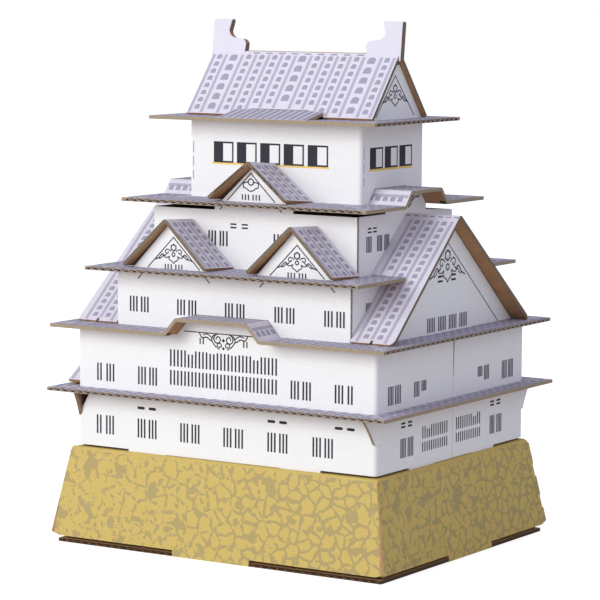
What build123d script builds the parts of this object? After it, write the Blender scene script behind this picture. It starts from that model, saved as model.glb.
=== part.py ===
from build123d import *
import math
import os

# A castle folded and cut from thin corrugated card, in millimetres, +Z up, front towards -Y.
# The origin is the middle of the underside of the floor plate, which it stands on.
# Storeys stand on roof plates, walls pass through slots by tabs, and gable roofs lean on walls.

# Corrugated board
BOARD = 1.2          # thickness
LINER = 0.2          # each flat face sheet
WAVE = 0.24          # wavy middle sheet, measured upright
PITCH = 3.2          # one wave
FLUTE_OPEN = 6.0     # how far the open flutes run in from an edge, narrowing to a point
FOLD_INNER = 0.25    # inside radius of a fold
FIT = 0.12           # clearance round a tab in its slot, and between sheets that meet
REST = 0.25          # clearance of a gable roof over what carries it

# Lower walls, the driving size: they pass the first roof and carry the second
LOWER_X = 119.5
LOWER_Y = 99.5
FIRST_STOREY = 19.45
SECOND_STOREY = 20.7
DECK_REST = 0.15         # between the deck and the walls' foot between the tabs
CORNER_LIFT = 0.6        # more than that from the tabs out to the corners
LOWER_TAB = 15.6
LOWER_TAB_X = 30.7       # middle of the tabs on the front and back
LOWER_TAB_Y = 20.8       # middle of the tabs on the sides
TAB_DEPTH = 2.2          # below the upper face of what a tab passes
FIN_WIDTH = 5.3          # corner brackets under the first roof
FIN_HEIGHT = 8.8
FIN_HOLLOW = 0.35        # how far their lower edge is hollowed
FRONT_FIN_LEAN = 14.0    # degrees, towards the middle

# Stone base
BASE_HEIGHT = 33.1
DECK_MARGIN_X = 1.45     # deck that shows round the lower walls
DECK_MARGIN_Y = 1.9
LEAN_X = 3.8             # from a panel's fold out to its foot
LEAN_Y = 3.15
PANEL_LIFT = 2.1         # lower edge of the panels over the ground
FLARE_X = 2.0            # free lower corners of the front panel, past the foot of the side panels
FLARE_Y = 4.7            # free lower corners of the side panels, past the foot of the back panel
FLARE_Z = 3.15
FLARE_CHAMFER = 3.4
SIDE_PAST = 0.4          # the side panels' back ends start this far inside the deck's back edge
FRONT_SHIFT = -1.0       # the front panel's foot is cut a little to the left
FRONT_TAB = 30.8
FRONT_TAB_X = -1.6
SIDE_TAB = 29.6
SIDE_TAB_Y = 4.3
FLOOR_MARGIN = 0.2       # floor plate inside the foot of the panels
NICK_HEIGHT = 4.5        # nicks in the ends of the side panels
NICK_DEPTH = 0.7
NICK_HEIGHTS = (8.0, 19.5)

# Upper walls, each storey set back from the one below
THIRD_SETBACK_X = 13.15
THIRD_SETBACK_Y = 5.0
THIRD_STOREY = 18.8
THIRD_GAP = 1.0          # front wall stops this far under the third roof
FOURTH_SETBACK_X = 5.85
FOURTH_SETBACK_Y = 13.3
FOURTH_STOREY = 21.6
FOURTH_GAP = 1.9         # walls stop this far under the fourth roof beside their raised parts
FOURTH_BACK_GAP = 3.1    # the same at the back corners
FIFTH_SETBACK_X = 6.1
FIFTH_SETBACK_FRONT = 12.45
FIFTH_SETBACK_BACK = 9.4
FIFTH_STOREY = 26.6
CREASE_WIDTH = 0.5       # cuts along the corner creases of the fifth storey
CREASE_CUTS = ((4.8, 4.8), (14.4, 4.0))  # height over the foot, length

# Roof plates, each past the wall below it
ROOF1_PAST_X = 7.45
ROOF1_PAST_Y = 7.95
ROOF2_PAST_X = 6.75
ROOF2_PAST_Y = 7.05
ROOF3_PAST_X = 7.8
ROOF3_PAST_Y = 8.35
ROOF4_PAST_X = 8.2
ROOF4_PAST_Y = 7.9
ROOF5_PAST_X = 10.65
ROOF5_SETBACK_Y = 3.2    # the fifth roof is a little narrower than the fourth storey
HUMP2_RISE = 5.2         # raised middle of the second roof, running front to back
HUMP2_FOOT = 38.2
HUMP2_TOP = 29.0
HUMP4_RISE = 4.8         # raised middle of the fourth roof, running side to side
HUMP4_FOOT = 28.2
HUMP4_TOP = 20.4

# Flap at the front of the fifth roof
FLAP_RIM = 1.0
FLAP_FOOT = 35.6
FLAP_TOP = 22.4
FLAP_REACH = 12.1        # from the rim to its top edge
FLAP_RISE = 2.7
FLAP_TAPER = 1.45        # part of the reach over which it narrows

# Pair of gable roofs on the third roof
PAIR_X = 25.0
PAIR_UNDER = 4.1         # their ridges at the front under the fourth roof
PAIR_HALF = 17.0
PAIR_SLOPE = 43.5        # degrees
PAIR_OVERHANG = 2.8
PAIR_TILT = 3.0          # degrees, lower at the back
PAIR_FACE_SLOPE = 46.0

# Gable roof on the fourth roof
MIDDLE_UNDER = 12.3      # its ridge at the front under the fifth roof
MIDDLE_HALF = 15.7
MIDDLE_SLOPE = 38.7
MIDDLE_OVERHANG = 3.5
MIDDLE_TILT = 5.0
MIDDLE_FACE_SLOPE = 43.0
MIDDLE_SHOULDER = 31.6   # width of the walls that reach the fourth roof

# Large gables left and right, from the second roof past the third
BIG_Y = 1.0              # they stand a little behind the middle
BIG_UNDER = 2.0          # their ridges under the fourth roof
BIG_INSET_Y = 10.3       # their half width is this much less than the second roof's
BIG_INSET_EAVE = 3.4     # outer edge in from the second roof's side, at the foot
BIG_INSET_RIDGE = 5.0    # the same at the ridge
BIG_INSET_FACE = 9.8     # their faces in from the second roof's side
BIG_EAVE_LIFT = 0.6      # outer lower edge over the second roof
BIG_FACE_LIFT = 0.1
BIG_TAB = 34.0
BIG_TAB_Y = 1.2
BIG_CORNER = 2.0         # rounding of the lower outer corners
BIG_NICK_X = 8.3         # nick in the front lower edge, in from the outer edge
BIG_NICK = 1.0

# Small gable on the left of the first roof
SMALL_Y = -28.6
SMALL_HALF = 19.3
SMALL_SLOPE = 33.5
SMALL_EAVE_LIFT = 1.7
SMALL_REACH = 5.6        # out from the wall
SMALL_FACE_RECESS = 1.6

# Top roof
TOP_INSET_X = 7.9        # its ends in from the fifth roof's
TOP_Y = 1.2              # its ridge is a little behind the middle
TOP_HALF = 18.1
TOP_EAVE_LIFT = 0.75     # outer lower edge over the fifth roof
TOP_RISE = 20.6          # from that edge to the ridge shoulder
TOP_FACE_RECESS = 1.6
TOP_FACE_TIP = 4.2       # width of the cut-off tip

# Ornaments at the ends of the top ridge, where the folded sheet stands up doubled
FINIAL_RISE = 11.4       # over the ridge shoulder
FINIAL_PAST = 0.75       # past the ends of the roof
FINIAL_TOP = 7.43        # width of the level folded top
FINIAL_NECK = 6.5        # width above the curl
FINIAL_CURL = 8.95       # width where the curl ends
FINIAL_SHOULDER = 11.85  # width where the lower part rounds off
FINIAL_FOOT = 13.75
FINIAL_ROOT = 13.45      # width where it meets the ridge
FINIAL_ROOT_DEPTH = 2.0  # how deep it runs into the ridge
NECK_DROP = 3.95         # heights of those widths under the top
CURL_DROP = 6.4
SHOULDER_DROP = 6.7
FOOT_DROP = 8.9
CURL_BULGE = 0.55        # how far the arcs there bow out
SHOULDER_BULGE = 0.6
FINIAL_PINCH = 0.35      # each layer is pressed thinner at the folded top
FINIAL_PINCH_DEPTH = 0.8
FINIAL_LEAN = 6.4        # degrees, towards the back

# Widths and depths that follow
BASE_TOP_X = LOWER_X + 2 * DECK_MARGIN_X
BASE_TOP_Y = LOWER_Y + 2 * DECK_MARGIN_Y
THIRD_X = LOWER_X - 2 * THIRD_SETBACK_X
THIRD_Y = LOWER_Y - 2 * THIRD_SETBACK_Y
FOURTH_X = THIRD_X - 2 * FOURTH_SETBACK_X
FOURTH_Y = THIRD_Y - 2 * FOURTH_SETBACK_Y
FIFTH_X = FOURTH_X - 2 * FIFTH_SETBACK_X
FIFTH_FRONT = -FOURTH_Y / 2 + FIFTH_SETBACK_FRONT
FIFTH_BACK = FOURTH_Y / 2 - FIFTH_SETBACK_BACK
ROOF1_X = LOWER_X + 2 * ROOF1_PAST_X
ROOF1_Y = LOWER_Y + 2 * ROOF1_PAST_Y
ROOF2_X = LOWER_X + 2 * ROOF2_PAST_X
ROOF2_Y = LOWER_Y + 2 * ROOF2_PAST_Y
ROOF3_X = THIRD_X + 2 * ROOF3_PAST_X
ROOF3_Y = THIRD_Y + 2 * ROOF3_PAST_Y
ROOF4_X = FOURTH_X + 2 * ROOF4_PAST_X
ROOF4_Y = FOURTH_Y + 2 * ROOF4_PAST_Y
ROOF5_X = FIFTH_X + 2 * ROOF5_PAST_X
ROOF5_Y = FOURTH_Y - 2 * ROOF5_SETBACK_Y
TOP_LENGTH = ROOF5_X - 2 * TOP_INSET_X

# Heights that follow: the plates' undersides and the large gables' ridge
LOWER_FOOT = BASE_HEIGHT + DECK_REST
ROOF1 = LOWER_FOOT + FIRST_STOREY
ROOF2 = ROOF1 + BOARD + SECOND_STOREY
ROOF3 = ROOF2 + BOARD + THIRD_STOREY
ROOF4 = ROOF3 + BOARD + FOURTH_STOREY
ROOF5 = ROOF4 + BOARD + FIFTH_STOREY
BIG_RIDGE = ROOF4 - BIG_UNDER
TOP_SHOULDER_Z = ROOF5 + BOARD + TOP_EAVE_LIFT + TOP_RISE
FOLD_OUTER = FOLD_INNER + BOARD
OVER = 1.0               # how far a cutting shape runs past what it cuts
BIG = 400.0              # longer than the whole castle, for cutting blocks


def block(x0, x1, y0, y1, z0, z1):
    """Block between two corners."""
    return Pos((x0 + x1) / 2, (y0 + y1) / 2, (z0 + z1) / 2) * Box(x1 - x0, y1 - y0, z1 - z0)


def plane_across(axis, start):
    """Plane square to an axis: X is seen as (y, z), Y as (x, z) and Z as (x, y)."""
    if axis == "X":
        return Plane(origin=(start, 0, 0), x_dir=(0, 1, 0), z_dir=(1, 0, 0))
    if axis == "Y":
        return Plane(origin=(0, start, 0), x_dir=(1, 0, 0), z_dir=(0, -1, 0))
    return Plane.XY.offset(start)


def along(face, axis, start, end):
    """Solid that carries a flat face, drawn in local (u, v), along an axis from start to end."""
    reach = start - end if axis == "Y" else end - start
    return extrude(plane_across(axis, start) * face, amount=reach)


def prism(points, axis, start, end):
    """Straight prism over an outline of (u, v) points."""
    return along(make_face(Polyline(*points, close=True)), axis, start, end)


def folded(line, open_side=1):
    """Section of a folded sheet. The line is its outer face, and the board lies to its left
    (open_side 1) or right (-1). Every inner point is a fold with an inner and an outer radius."""
    ways = []
    for a, b in zip(line, line[1:]):
        length = math.dist(a, b)
        ways.append(((b[0] - a[0]) / length, (b[1] - a[1]) / length))
    outer_radii, inner_radii = [], []
    back = [(line[0][0] - ways[0][1] * BOARD * open_side, line[0][1] + ways[0][0] * BOARD * open_side)]
    for (ax, ay), (bx, by), corner in zip(ways, ways[1:], line[1:]):
        reach = BOARD * open_side / (1 + ax * bx + ay * by)
        back.append((corner[0] - (ay + by) * reach, corner[1] + (ax + bx) * reach))
        closes = (ax * by - ay * bx) * open_side > 0
        outer_radii.append(FOLD_OUTER if closes else FOLD_INNER)
        inner_radii.append(FOLD_INNER if closes else FOLD_OUTER)
    last = ways[-1]
    back.append((line[-1][0] - last[1] * BOARD * open_side, line[-1][1] + last[0] * BOARD * open_side))
    outer = FilletPolyline(*line, radius=outer_radii)
    inner = FilletPolyline(*back, radius=inner_radii)
    ends = [Line(line[0], back[0]), Line(line[-1], back[-1])]
    return make_face([*outer.edges(), *inner.edges(), *ends])


def flute_gaps(count):
    """Triangular gaps between the liners and the wave of a cut edge, on (along, through) axes
    with the middle of the row at zero, as a list of faces."""
    core = BOARD - 2 * LINER
    side = WAVE / 2 * (PITCH / 2) / core
    faces = []
    for i in range(count):
        u = (i - count / 2) * PITCH
        low = ((u + side, LINER), (u + PITCH - side, LINER), (u + PITCH / 2, LINER + core - WAVE / 2))
        faces.append(make_face(Polyline(*low, close=True)))
        if i:
            top = LINER + core
            high = ((u - PITCH / 2 + side, top), (u + PITCH / 2 - side, top), (u, LINER + WAVE / 2))
            faces.append(make_face(Polyline(*high, close=True)))
    return faces


def open_flutes(sheet, edge, length, through=0.0):
    """Cuts the flutes into the edge of a sheet. The edge plane has its X along the edge, its Y
    through the board and its Z out of the sheet. They go right through a sheet whose depth is
    given, and narrow to a point a short way in elsewhere."""
    gaps = []
    for face in flute_gaps(int(length / PITCH)):
        if through:
            gaps.append(extrude(edge * face, amount=-through))
        else:
            tip = (edge * Pos(face.center() + Vector(0, 0, -FLUTE_OPEN))).position
            gaps.append(loft([edge * face, Vertex(tip)], ruled=True))
    return sheet - gaps


def flutes_front_back(sheet, length, half_y, z):
    """Open flutes in the front and back edges of a level sheet whose underside is at z."""
    front = Plane(origin=(0, -half_y, z), x_dir=(1, 0, 0), z_dir=(0, -1, 0))
    rear = Plane(origin=(0, half_y, z + BOARD), x_dir=(1, 0, 0), z_dir=(0, 1, 0))
    return open_flutes(open_flutes(sheet, front, length), rear, length)


def flutes_left_right(sheet, length, half_x, z):
    """Open flutes in the left and right edges of a level sheet whose underside is at z."""
    left = Plane(origin=(-half_x, 0, z + BOARD), x_dir=(0, 1, 0), z_dir=(-1, 0, 0))
    right = Plane(origin=(half_x, 0, z), x_dir=(0, 1, 0), z_dir=(1, 0, 0))
    return open_flutes(open_flutes(sheet, left, length), right, length)


def under_hump(foot, top, rise):
    """Foot and top widths of the wall that fills the underside of a hump."""
    lean = math.atan2(rise, (foot - top) / 2)
    shift = BOARD * math.tan(lean / 2) + FIT
    return foot - 2 * shift, top - 2 * shift


def over_hump(foot, top, rise, z):
    """Outline of the notch in the foot of a wall that stands across a hump."""
    wide, narrow, crown = foot / 2 + 2 * FIT, top / 2 + 2 * FIT, z + rise + FIT
    return [
        (-wide, z - OVER), (wide, z - OVER), (wide, z),
        (narrow, crown), (-narrow, crown), (-wide, z),
    ]


def humped_line(width, foot, top, z, rise):
    """Upper face of a plate that is folded up along its middle into a flat-topped hump."""
    return [
        (-width / 2, z), (-foot / 2, z), (-top / 2, z + rise),
        (top / 2, z + rise), (foot / 2, z), (width / 2, z),
    ]


def tab_points(middle, width, tip, before, after):
    """Tab on the lower edge of an outline, walked towards smaller u, between the edge's heights
    before and after it."""
    return [
        (middle + width / 2, before), (middle + width / 2, tip),
        (middle - width / 2, tip), (middle - width / 2, after),
    ]


def turned(sheet, degrees, y, z):
    """Sheet turned about a level line along X through (y, z), its back end going down."""
    return Pos(0, y, z) * Rot(X=-degrees) * Pos(0, -y, -z) * sheet


def other_side(sheet):
    """Mirror image of a piece on the left instead of the right."""
    return mirror(sheet, about=Plane.YZ)


def slot_block(x, width, y_front, z):
    """Slot through a level plate for a tab of the front or back wall whose outer face is at y."""
    y0, y1 = sorted((y_front, y_front - math.copysign(BOARD, y_front)))
    return block(x - width / 2 - FIT, x + width / 2 + FIT, y0 - FIT, y1 + FIT, z - OVER, z + BOARD + OVER)


def floor_plate():
    """Floor plate, notched where the foot tabs of the base come down."""
    x = BASE_TOP_X / 2 + LEAN_X - FLOOR_MARGIN
    y = BASE_TOP_Y / 2 + LEAN_Y - FLOOR_MARGIN
    plate = block(-x, x, -y, y, 0, BOARD)
    edge = Plane(origin=(0, -y, 0), x_dir=(1, 0, 0), z_dir=(0, -1, 0))
    plate = open_flutes(plate, edge, 2 * x, through=2 * y)
    depth, top = BOARD + 2 * FIT, BOARD + OVER
    wide, long = FRONT_TAB / 2 + FIT, SIDE_TAB / 2 + FIT
    for sign in (1, -1):
        y0, y1 = sorted((sign * (y - depth), sign * BIG))
        x0, x1 = sorted((sign * (x - depth), sign * BIG))
        plate -= block(FRONT_TAB_X - wide, FRONT_TAB_X + wide, y0, y1, -OVER, top)
        plate -= block(x0, x1, SIDE_TAB_Y - long, SIDE_TAB_Y + long, -OVER, top)
    return plate


def tucked(top, foot):
    """End of a leaning panel that stops inside the panel across it, from its fold down. The foot
    is where it would meet the ground."""
    return [(top, BASE_HEIGHT), (foot + (top - foot) * PANEL_LIFT / BASE_HEIGHT, PANEL_LIFT)]


def flared(top, corner):
    """Free end of a leaning panel, from its fold down to a lower corner that is cut off."""
    chamfer = math.copysign(FLARE_CHAMFER, corner)
    return [(top, BASE_HEIGHT), (corner, FLARE_Z), (corner - chamfer, PANEL_LIFT)]


def panel_outline(left, right, tab, middle):
    """Outline of a leaning panel between its two ends, with the tab that reaches the ground."""
    over = BASE_HEIGHT + OVER
    return [
        (left[0][0], over), *left, (middle - tab / 2, PANEL_LIFT), (middle - tab / 2, 0),
        (middle + tab / 2, 0), (middle + tab / 2, PANEL_LIFT), *reversed(right), (right[0][0], over),
    ]


def nick(end, height):
    """Outline of a nick in the slanting end of a panel."""
    (top, _), (low, low_z) = end[:2]
    depth, out = math.copysign(NICK_DEPTH, top), math.copysign(OVER, top)
    foot, head = (
        low + (top - low) * (z - low_z) / (BASE_HEIGHT - low_z) for z in (height, height + NICK_HEIGHT)
    )
    return [
        (foot - depth, height), (foot + out, height),
        (head + out, height + NICK_HEIGHT), (head - depth, height + NICK_HEIGHT),
    ]


def stone_base():
    """Deck with four leaning panels, one folded sheet. The front panel covers the ends of the
    side panels, these cover the ends of the back panel, and slots in the deck take the tabs of
    the lower walls."""
    half_x, half_y = BASE_TOP_X / 2, BASE_TOP_Y / 2
    foot_x, foot_y = half_x + LEAN_X, half_y + LEAN_Y
    fold_x, fold_y = half_x - FOLD_OUTER, half_y - FOLD_OUTER
    inside_x = foot_x - (BOARD + FIT) * math.hypot(1, LEAN_X / BASE_HEIGHT)
    inside_y = foot_y - (BOARD + FIT) * math.hypot(1, LEAN_Y / BASE_HEIGHT)

    line = [(fold_y, BASE_HEIGHT), (half_y, BASE_HEIGHT), (foot_y, 0)]
    leaning = along(folded(line, open_side=-1), "X", -BIG / 2, BIG / 2)
    back = leaning & prism(
        panel_outline(tucked(-fold_x, -inside_x), tucked(fold_x, inside_x), FRONT_TAB, FRONT_TAB_X),
        "Y", 0, BIG)
    corner = foot_x + FLARE_X
    front = mirror(leaning, about=Plane.XZ) & prism(
        panel_outline(flared(-half_x, FRONT_SHIFT - corner), flared(half_x, FRONT_SHIFT + corner),
                      FRONT_TAB, FRONT_TAB_X),
        "Y", -BIG, 0)

    line = [(-foot_x, 0), (-half_x, BASE_HEIGHT), (half_x, BASE_HEIGHT), (foot_x, 0)]
    side_y = half_y - SIDE_PAST
    ends = tucked(-fold_y, -inside_y), flared(side_y, foot_y + FLARE_Y)
    deck = along(folded(line, open_side=-1), "Y", -BIG / 2, BIG / 2)
    deck &= prism(panel_outline(*ends, SIDE_TAB, SIDE_TAB_Y), "X", -BIG / 2, BIG / 2)
    for height in NICK_HEIGHTS:
        for end in ends:
            deck -= prism(nick(end, height), "X", -BIG / 2, BIG / 2)
    low, over = BASE_HEIGHT - FOLD_OUTER, BASE_HEIGHT + OVER
    cut_off = [(fold_y, BASE_HEIGHT), (side_y, low), (BIG, low), (BIG, over), (fold_y, over)]
    deck -= prism(cut_off, "X", -BIG / 2, BIG / 2)

    base = deck + front + back
    for sign in (1, -1):
        for x in (-LOWER_TAB_X, LOWER_TAB_X):
            base -= slot_block(x, LOWER_TAB, sign * LOWER_Y / 2, BASE_HEIGHT - BOARD)
        x0, x1 = sorted((sign * (LOWER_X / 2 + FIT), sign * (LOWER_X / 2 - BOARD - FIT)))
        for y in (-LOWER_TAB_Y, LOWER_TAB_Y):
            wide = LOWER_TAB / 2 + FIT
            base -= block(x0, x1, y - wide, y + wide, BASE_HEIGHT - BOARD - OVER, BASE_HEIGHT + OVER)
    return base


def bracket(lean):
    """Corner bracket of a lower wall on the right, hollowed along its lower edge, turned about
    the corner towards the middle by a lean in degrees."""
    half_x, half_y = LOWER_X / 2, LOWER_Y / 2
    corner = -half_y + FOLD_OUTER
    low, tip = (-half_y, ROOF1 - FIN_HEIGHT), (-half_y - FIN_WIDTH, ROOF1)
    behind = corner + BOARD
    shape = make_face([
        SagittaArc(low, tip, -FIN_HOLLOW), Line(tip, (behind, ROOF1)),
        Line((behind, ROOF1), (behind, ROOF1 - FIN_HEIGHT)), Line((behind, ROOF1 - FIN_HEIGHT), low),
    ])
    fin = along(shape, "X", half_x - BOARD, half_x)
    pivot = Pos(half_x - BOARD / 2, corner, 0)
    return pivot * Rot(Z=-lean) * pivot.inverse() * fin


def lower_wall(lean):
    """Front of the two lower storeys, one sheet folded round both corners to the middle of the
    sides. Its middle rises under the hump of the second roof, tabs go down into the deck, and
    at each corner a bracket is left standing on the side wall and carries the first roof."""
    half_x, half_y = LOWER_X / 2, LOWER_Y / 2
    plan = [(-half_x, -FIT / 2), (-half_x, -half_y), (half_x, -half_y), (half_x, -FIT / 2)]
    foot, top = under_hump(HUMP2_FOOT, HUMP2_TOP, HUMP2_RISE)
    crown, tip = ROOF2 + HUMP2_RISE - FIT, BASE_HEIGHT - TAB_DEPTH
    outer = LOWER_FOOT + CORNER_LIFT
    front = [
        (-BIG, outer), (-BIG, ROOF2), (-foot / 2, ROOF2), (-top / 2, crown),
        (top / 2, crown), (foot / 2, ROOF2), (BIG, ROOF2), (BIG, outer),
        *tab_points(LOWER_TAB_X, LOWER_TAB, tip, outer, LOWER_FOOT),
        *tab_points(-LOWER_TAB_X, LOWER_TAB, tip, LOWER_FOOT, outer),
    ]
    side = [
        (-BIG, outer), (-BIG, ROOF2), (BIG, ROOF2), (BIG, LOWER_FOOT),
        *tab_points(-LOWER_TAB_Y, LOWER_TAB, tip, LOWER_FOOT, outer),
    ]
    corner = -half_y + FOLD_OUTER
    wall = along(folded(plan), "Z", tip, crown)
    sides = wall & prism(side, "X", -BIG, BIG) & block(-BIG, BIG, corner, BIG, 0, BIG)
    wall = (wall & prism(front, "Y", -BIG, corner)) + sides

    cut = [
        (half_x + OVER, ROOF1 - FIN_HEIGHT), (half_x, ROOF1 - FIN_HEIGHT),
        (half_x - FIN_WIDTH, ROOF1), (half_x + OVER, ROOF1),
    ]
    cut = prism(cut, "Y", -half_y - OVER, corner)
    wall -= [cut, other_side(cut)]
    return wall + [bracket(lean), other_side(bracket(lean))]


def first_roof():
    """Ring of board slipped over the lower walls onto the corner brackets."""
    x, y = ROOF1_X / 2, ROOF1_Y / 2
    hole_x, hole_y = LOWER_X / 2 + FIT, LOWER_Y / 2 + FIT
    ring = block(-x, x, -y, y, ROOF1, ROOF1 + BOARD)
    ring -= block(-hole_x, hole_x, -hole_y, hole_y, ROOF1 - OVER, ROOF1 + BOARD + OVER)
    return flutes_front_back(ring, ROOF1_X, y, ROOF1)


def second_roof():
    """Plate with a hump that runs front to back, and a slot for the tab of each large gable."""
    z = ROOF2 + BOARD
    line = humped_line(ROOF2_X, HUMP2_FOOT, HUMP2_TOP, z, HUMP2_RISE)
    plate = along(folded(line, open_side=-1), "Y", -ROOF2_Y / 2, ROOF2_Y / 2)
    y0, y1 = BIG_TAB_Y - BIG_TAB / 2 - FIT, BIG_TAB_Y + BIG_TAB / 2 + FIT
    face_x = ROOF2_X / 2 - BIG_INSET_FACE
    for sign in (-1, 1):
        x0, x1 = sorted((sign * (face_x + FIT), sign * (face_x - BOARD - FIT)))
        plate -= block(x0, x1, y0, y1, ROOF2 - OVER, z + OVER)
    return flutes_left_right(plate, ROOF2_Y, ROOF2_X / 2, ROOF2)


def wall_flutes(sheet, half_x, y, z, height):
    """Open flutes in the upright left and right edges of a front wall whose outer face is at y."""
    middle = z + height / 2
    left = Plane(origin=(-half_x, y, middle), x_dir=(0, 0, 1), z_dir=(-1, 0, 0))
    right = Plane(origin=(half_x, y + BOARD, middle), x_dir=(0, 0, 1), z_dir=(1, 0, 0))
    return open_flutes(open_flutes(sheet, left, height), right, height)


def side_wall_flutes(sheet, x, y, z, height):
    """Open flutes in the upright back edge of a right side wall whose outer face is at x."""
    edge = Plane(origin=(x - BOARD, y, z + height / 2), x_dir=(0, 0, 1), z_dir=(0, 1, 0))
    return open_flutes(sheet, edge, height)


def gable_tip(ridge, slope, overhang, tilt):
    """Height of a wall's gable tip under the ridge of the tilted roof that it carries."""
    thick = BOARD / math.cos(math.radians(slope))
    return ridge - thick - (overhang + BOARD) * math.tan(math.radians(tilt)) - REST


def pair_gable(z):
    """Tip of each of the third storey's gables, and its half width at a height."""
    tip = gable_tip(ROOF4 - PAIR_UNDER, PAIR_SLOPE, PAIR_OVERHANG, PAIR_TILT)
    return tip, (tip - z) / math.tan(math.radians(PAIR_FACE_SLOPE))


def middle_gable(z):
    """Tip of the fourth storey's gable, and its half width at a height."""
    tip = gable_tip(ROOF5 - MIDDLE_UNDER, MIDDLE_SLOPE, MIDDLE_OVERHANG, MIDDLE_TILT)
    return tip, (tip - z) / math.tan(math.radians(MIDDLE_FACE_SLOPE))


def third_front_wall():
    """Front of the third storey, over the ends of its side walls. Two gables rise from it
    through slots in the third roof."""
    foot, edge, y = ROOF2 + BOARD, ROOF3 - THIRD_GAP, -THIRD_Y / 2
    sheet = block(-THIRD_X / 2, THIRD_X / 2, y, y + BOARD, foot, edge)
    tip, half = pair_gable(edge)
    for x in (-PAIR_X, PAIR_X):
        sheet += prism([(x - half, edge), (x + half, edge), (x, tip)], "Y", y, y + BOARD)
    sheet -= prism(over_hump(HUMP2_FOOT, HUMP2_TOP, HUMP2_RISE, foot), "Y", y - OVER, y + BOARD + OVER)
    return wall_flutes(sheet, THIRD_X / 2, y, foot, THIRD_STOREY - THIRD_GAP)


def third_back_wall():
    """Back of the third storey, plain, between the side walls."""
    foot, y, half = ROOF2 + BOARD, THIRD_Y / 2, THIRD_X / 2 - BOARD
    sheet = block(-half, half, y - BOARD, y, foot, ROOF3)
    return sheet - prism(over_hump(HUMP2_FOOT, HUMP2_TOP, HUMP2_RISE, foot), "Y", y - BOARD - OVER, y + OVER)


def third_side_wall():
    """Right side of the third storey."""
    x, y, z = THIRD_X / 2, THIRD_Y / 2, ROOF2 + BOARD
    sheet = block(x - BOARD, x, -y + BOARD, y, z, ROOF3)
    return side_wall_flutes(sheet, x, y, z, THIRD_STOREY)


def third_roof():
    """Plate with slots for the two front gables, cut away at the sides for the large gables."""
    x, y, z = ROOF3_X / 2, ROOF3_Y / 2, ROOF3
    plate = block(-x, x, -y, y, z, z + BOARD)
    for middle in (-PAIR_X, PAIR_X):
        plate -= slot_block(middle, 2 * pair_gable(z)[1], -THIRD_Y / 2, z)
    gap = (BIG_RIDGE - z) / big_slope() + FIT
    for sign in (-1, 1):
        x0, x1 = sorted((sign * (THIRD_X / 2), sign * BIG))
        plate -= block(x0, x1, BIG_Y - gap, BIG_Y + gap, z - OVER, z + BOARD + OVER)
    return flutes_front_back(plate, ROOF3_X, y, z)


def fourth_front_wall():
    """Front of the fourth storey. Its raised middle holds the fourth roof by two shoulders and
    ends in a gable that passes the roof's slot."""
    foot, y, low = ROOF3 + BOARD, -FOURTH_Y / 2, ROOF4 - FOURTH_GAP
    tip, half = middle_gable(ROOF4)
    x, shoulder = FOURTH_X / 2, MIDDLE_SHOULDER / 2
    sheet = prism([
        (-x, foot), (x, foot), (x, low), (shoulder, low), (shoulder, ROOF4), (half, ROOF4),
        (0, tip), (-half, ROOF4), (-shoulder, ROOF4), (-shoulder, low), (-x, low),
    ], "Y", y, y + BOARD)
    return wall_flutes(sheet, x, y, foot, FOURTH_STOREY - FOURTH_GAP)


def fourth_back_wall():
    """Back of the fourth storey, between the side walls, raised to the roof in its middle."""
    foot, y, low = ROOF3 + BOARD, FOURTH_Y / 2, ROOF4 - FOURTH_BACK_GAP
    x, shoulder = FOURTH_X / 2 - BOARD, MIDDLE_SHOULDER / 2
    return prism([
        (-x, foot), (x, foot), (x, low), (shoulder, low), (shoulder, ROOF4),
        (-shoulder, ROOF4), (-shoulder, low), (-x, low),
    ], "Y", y - BOARD, y)


def fourth_side_wall():
    """Right side of the fourth storey, raised in the middle under the fourth roof's hump. Its
    upper edge falls a little towards the back."""
    x, y, z = FOURTH_X / 2, FOURTH_Y / 2, ROOF3 + BOARD
    foot, top = under_hump(HUMP4_FOOT, HUMP4_TOP, HUMP4_RISE)
    low, rear, crown = ROOF4 - FOURTH_GAP, ROOF4 - FOURTH_BACK_GAP, ROOF4 + HUMP4_RISE - FIT
    sheet = prism([
        (-y + BOARD, z), (y, z), (y, rear), (foot / 2, low), (foot / 2, ROOF4), (top / 2, crown),
        (-top / 2, crown), (-foot / 2, ROOF4), (-foot / 2, low), (-y + BOARD, low),
    ], "X", x - BOARD, x)
    return side_wall_flutes(sheet, x, y, z, FOURTH_STOREY - FOURTH_BACK_GAP)


def fourth_roof():
    """Plate with a hump that runs side to side, and a slot for the front gable."""
    line = humped_line(ROOF4_Y, HUMP4_FOOT, HUMP4_TOP, ROOF4 + BOARD, HUMP4_RISE)
    plate = along(folded(line, open_side=-1), "X", -ROOF4_X / 2, ROOF4_X / 2)
    plate -= slot_block(0, 2 * middle_gable(ROOF4)[1], -FOURTH_Y / 2, ROOF4)
    return flutes_front_back(plate, ROOF4_X, ROOF4_Y / 2, ROOF4)


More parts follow.
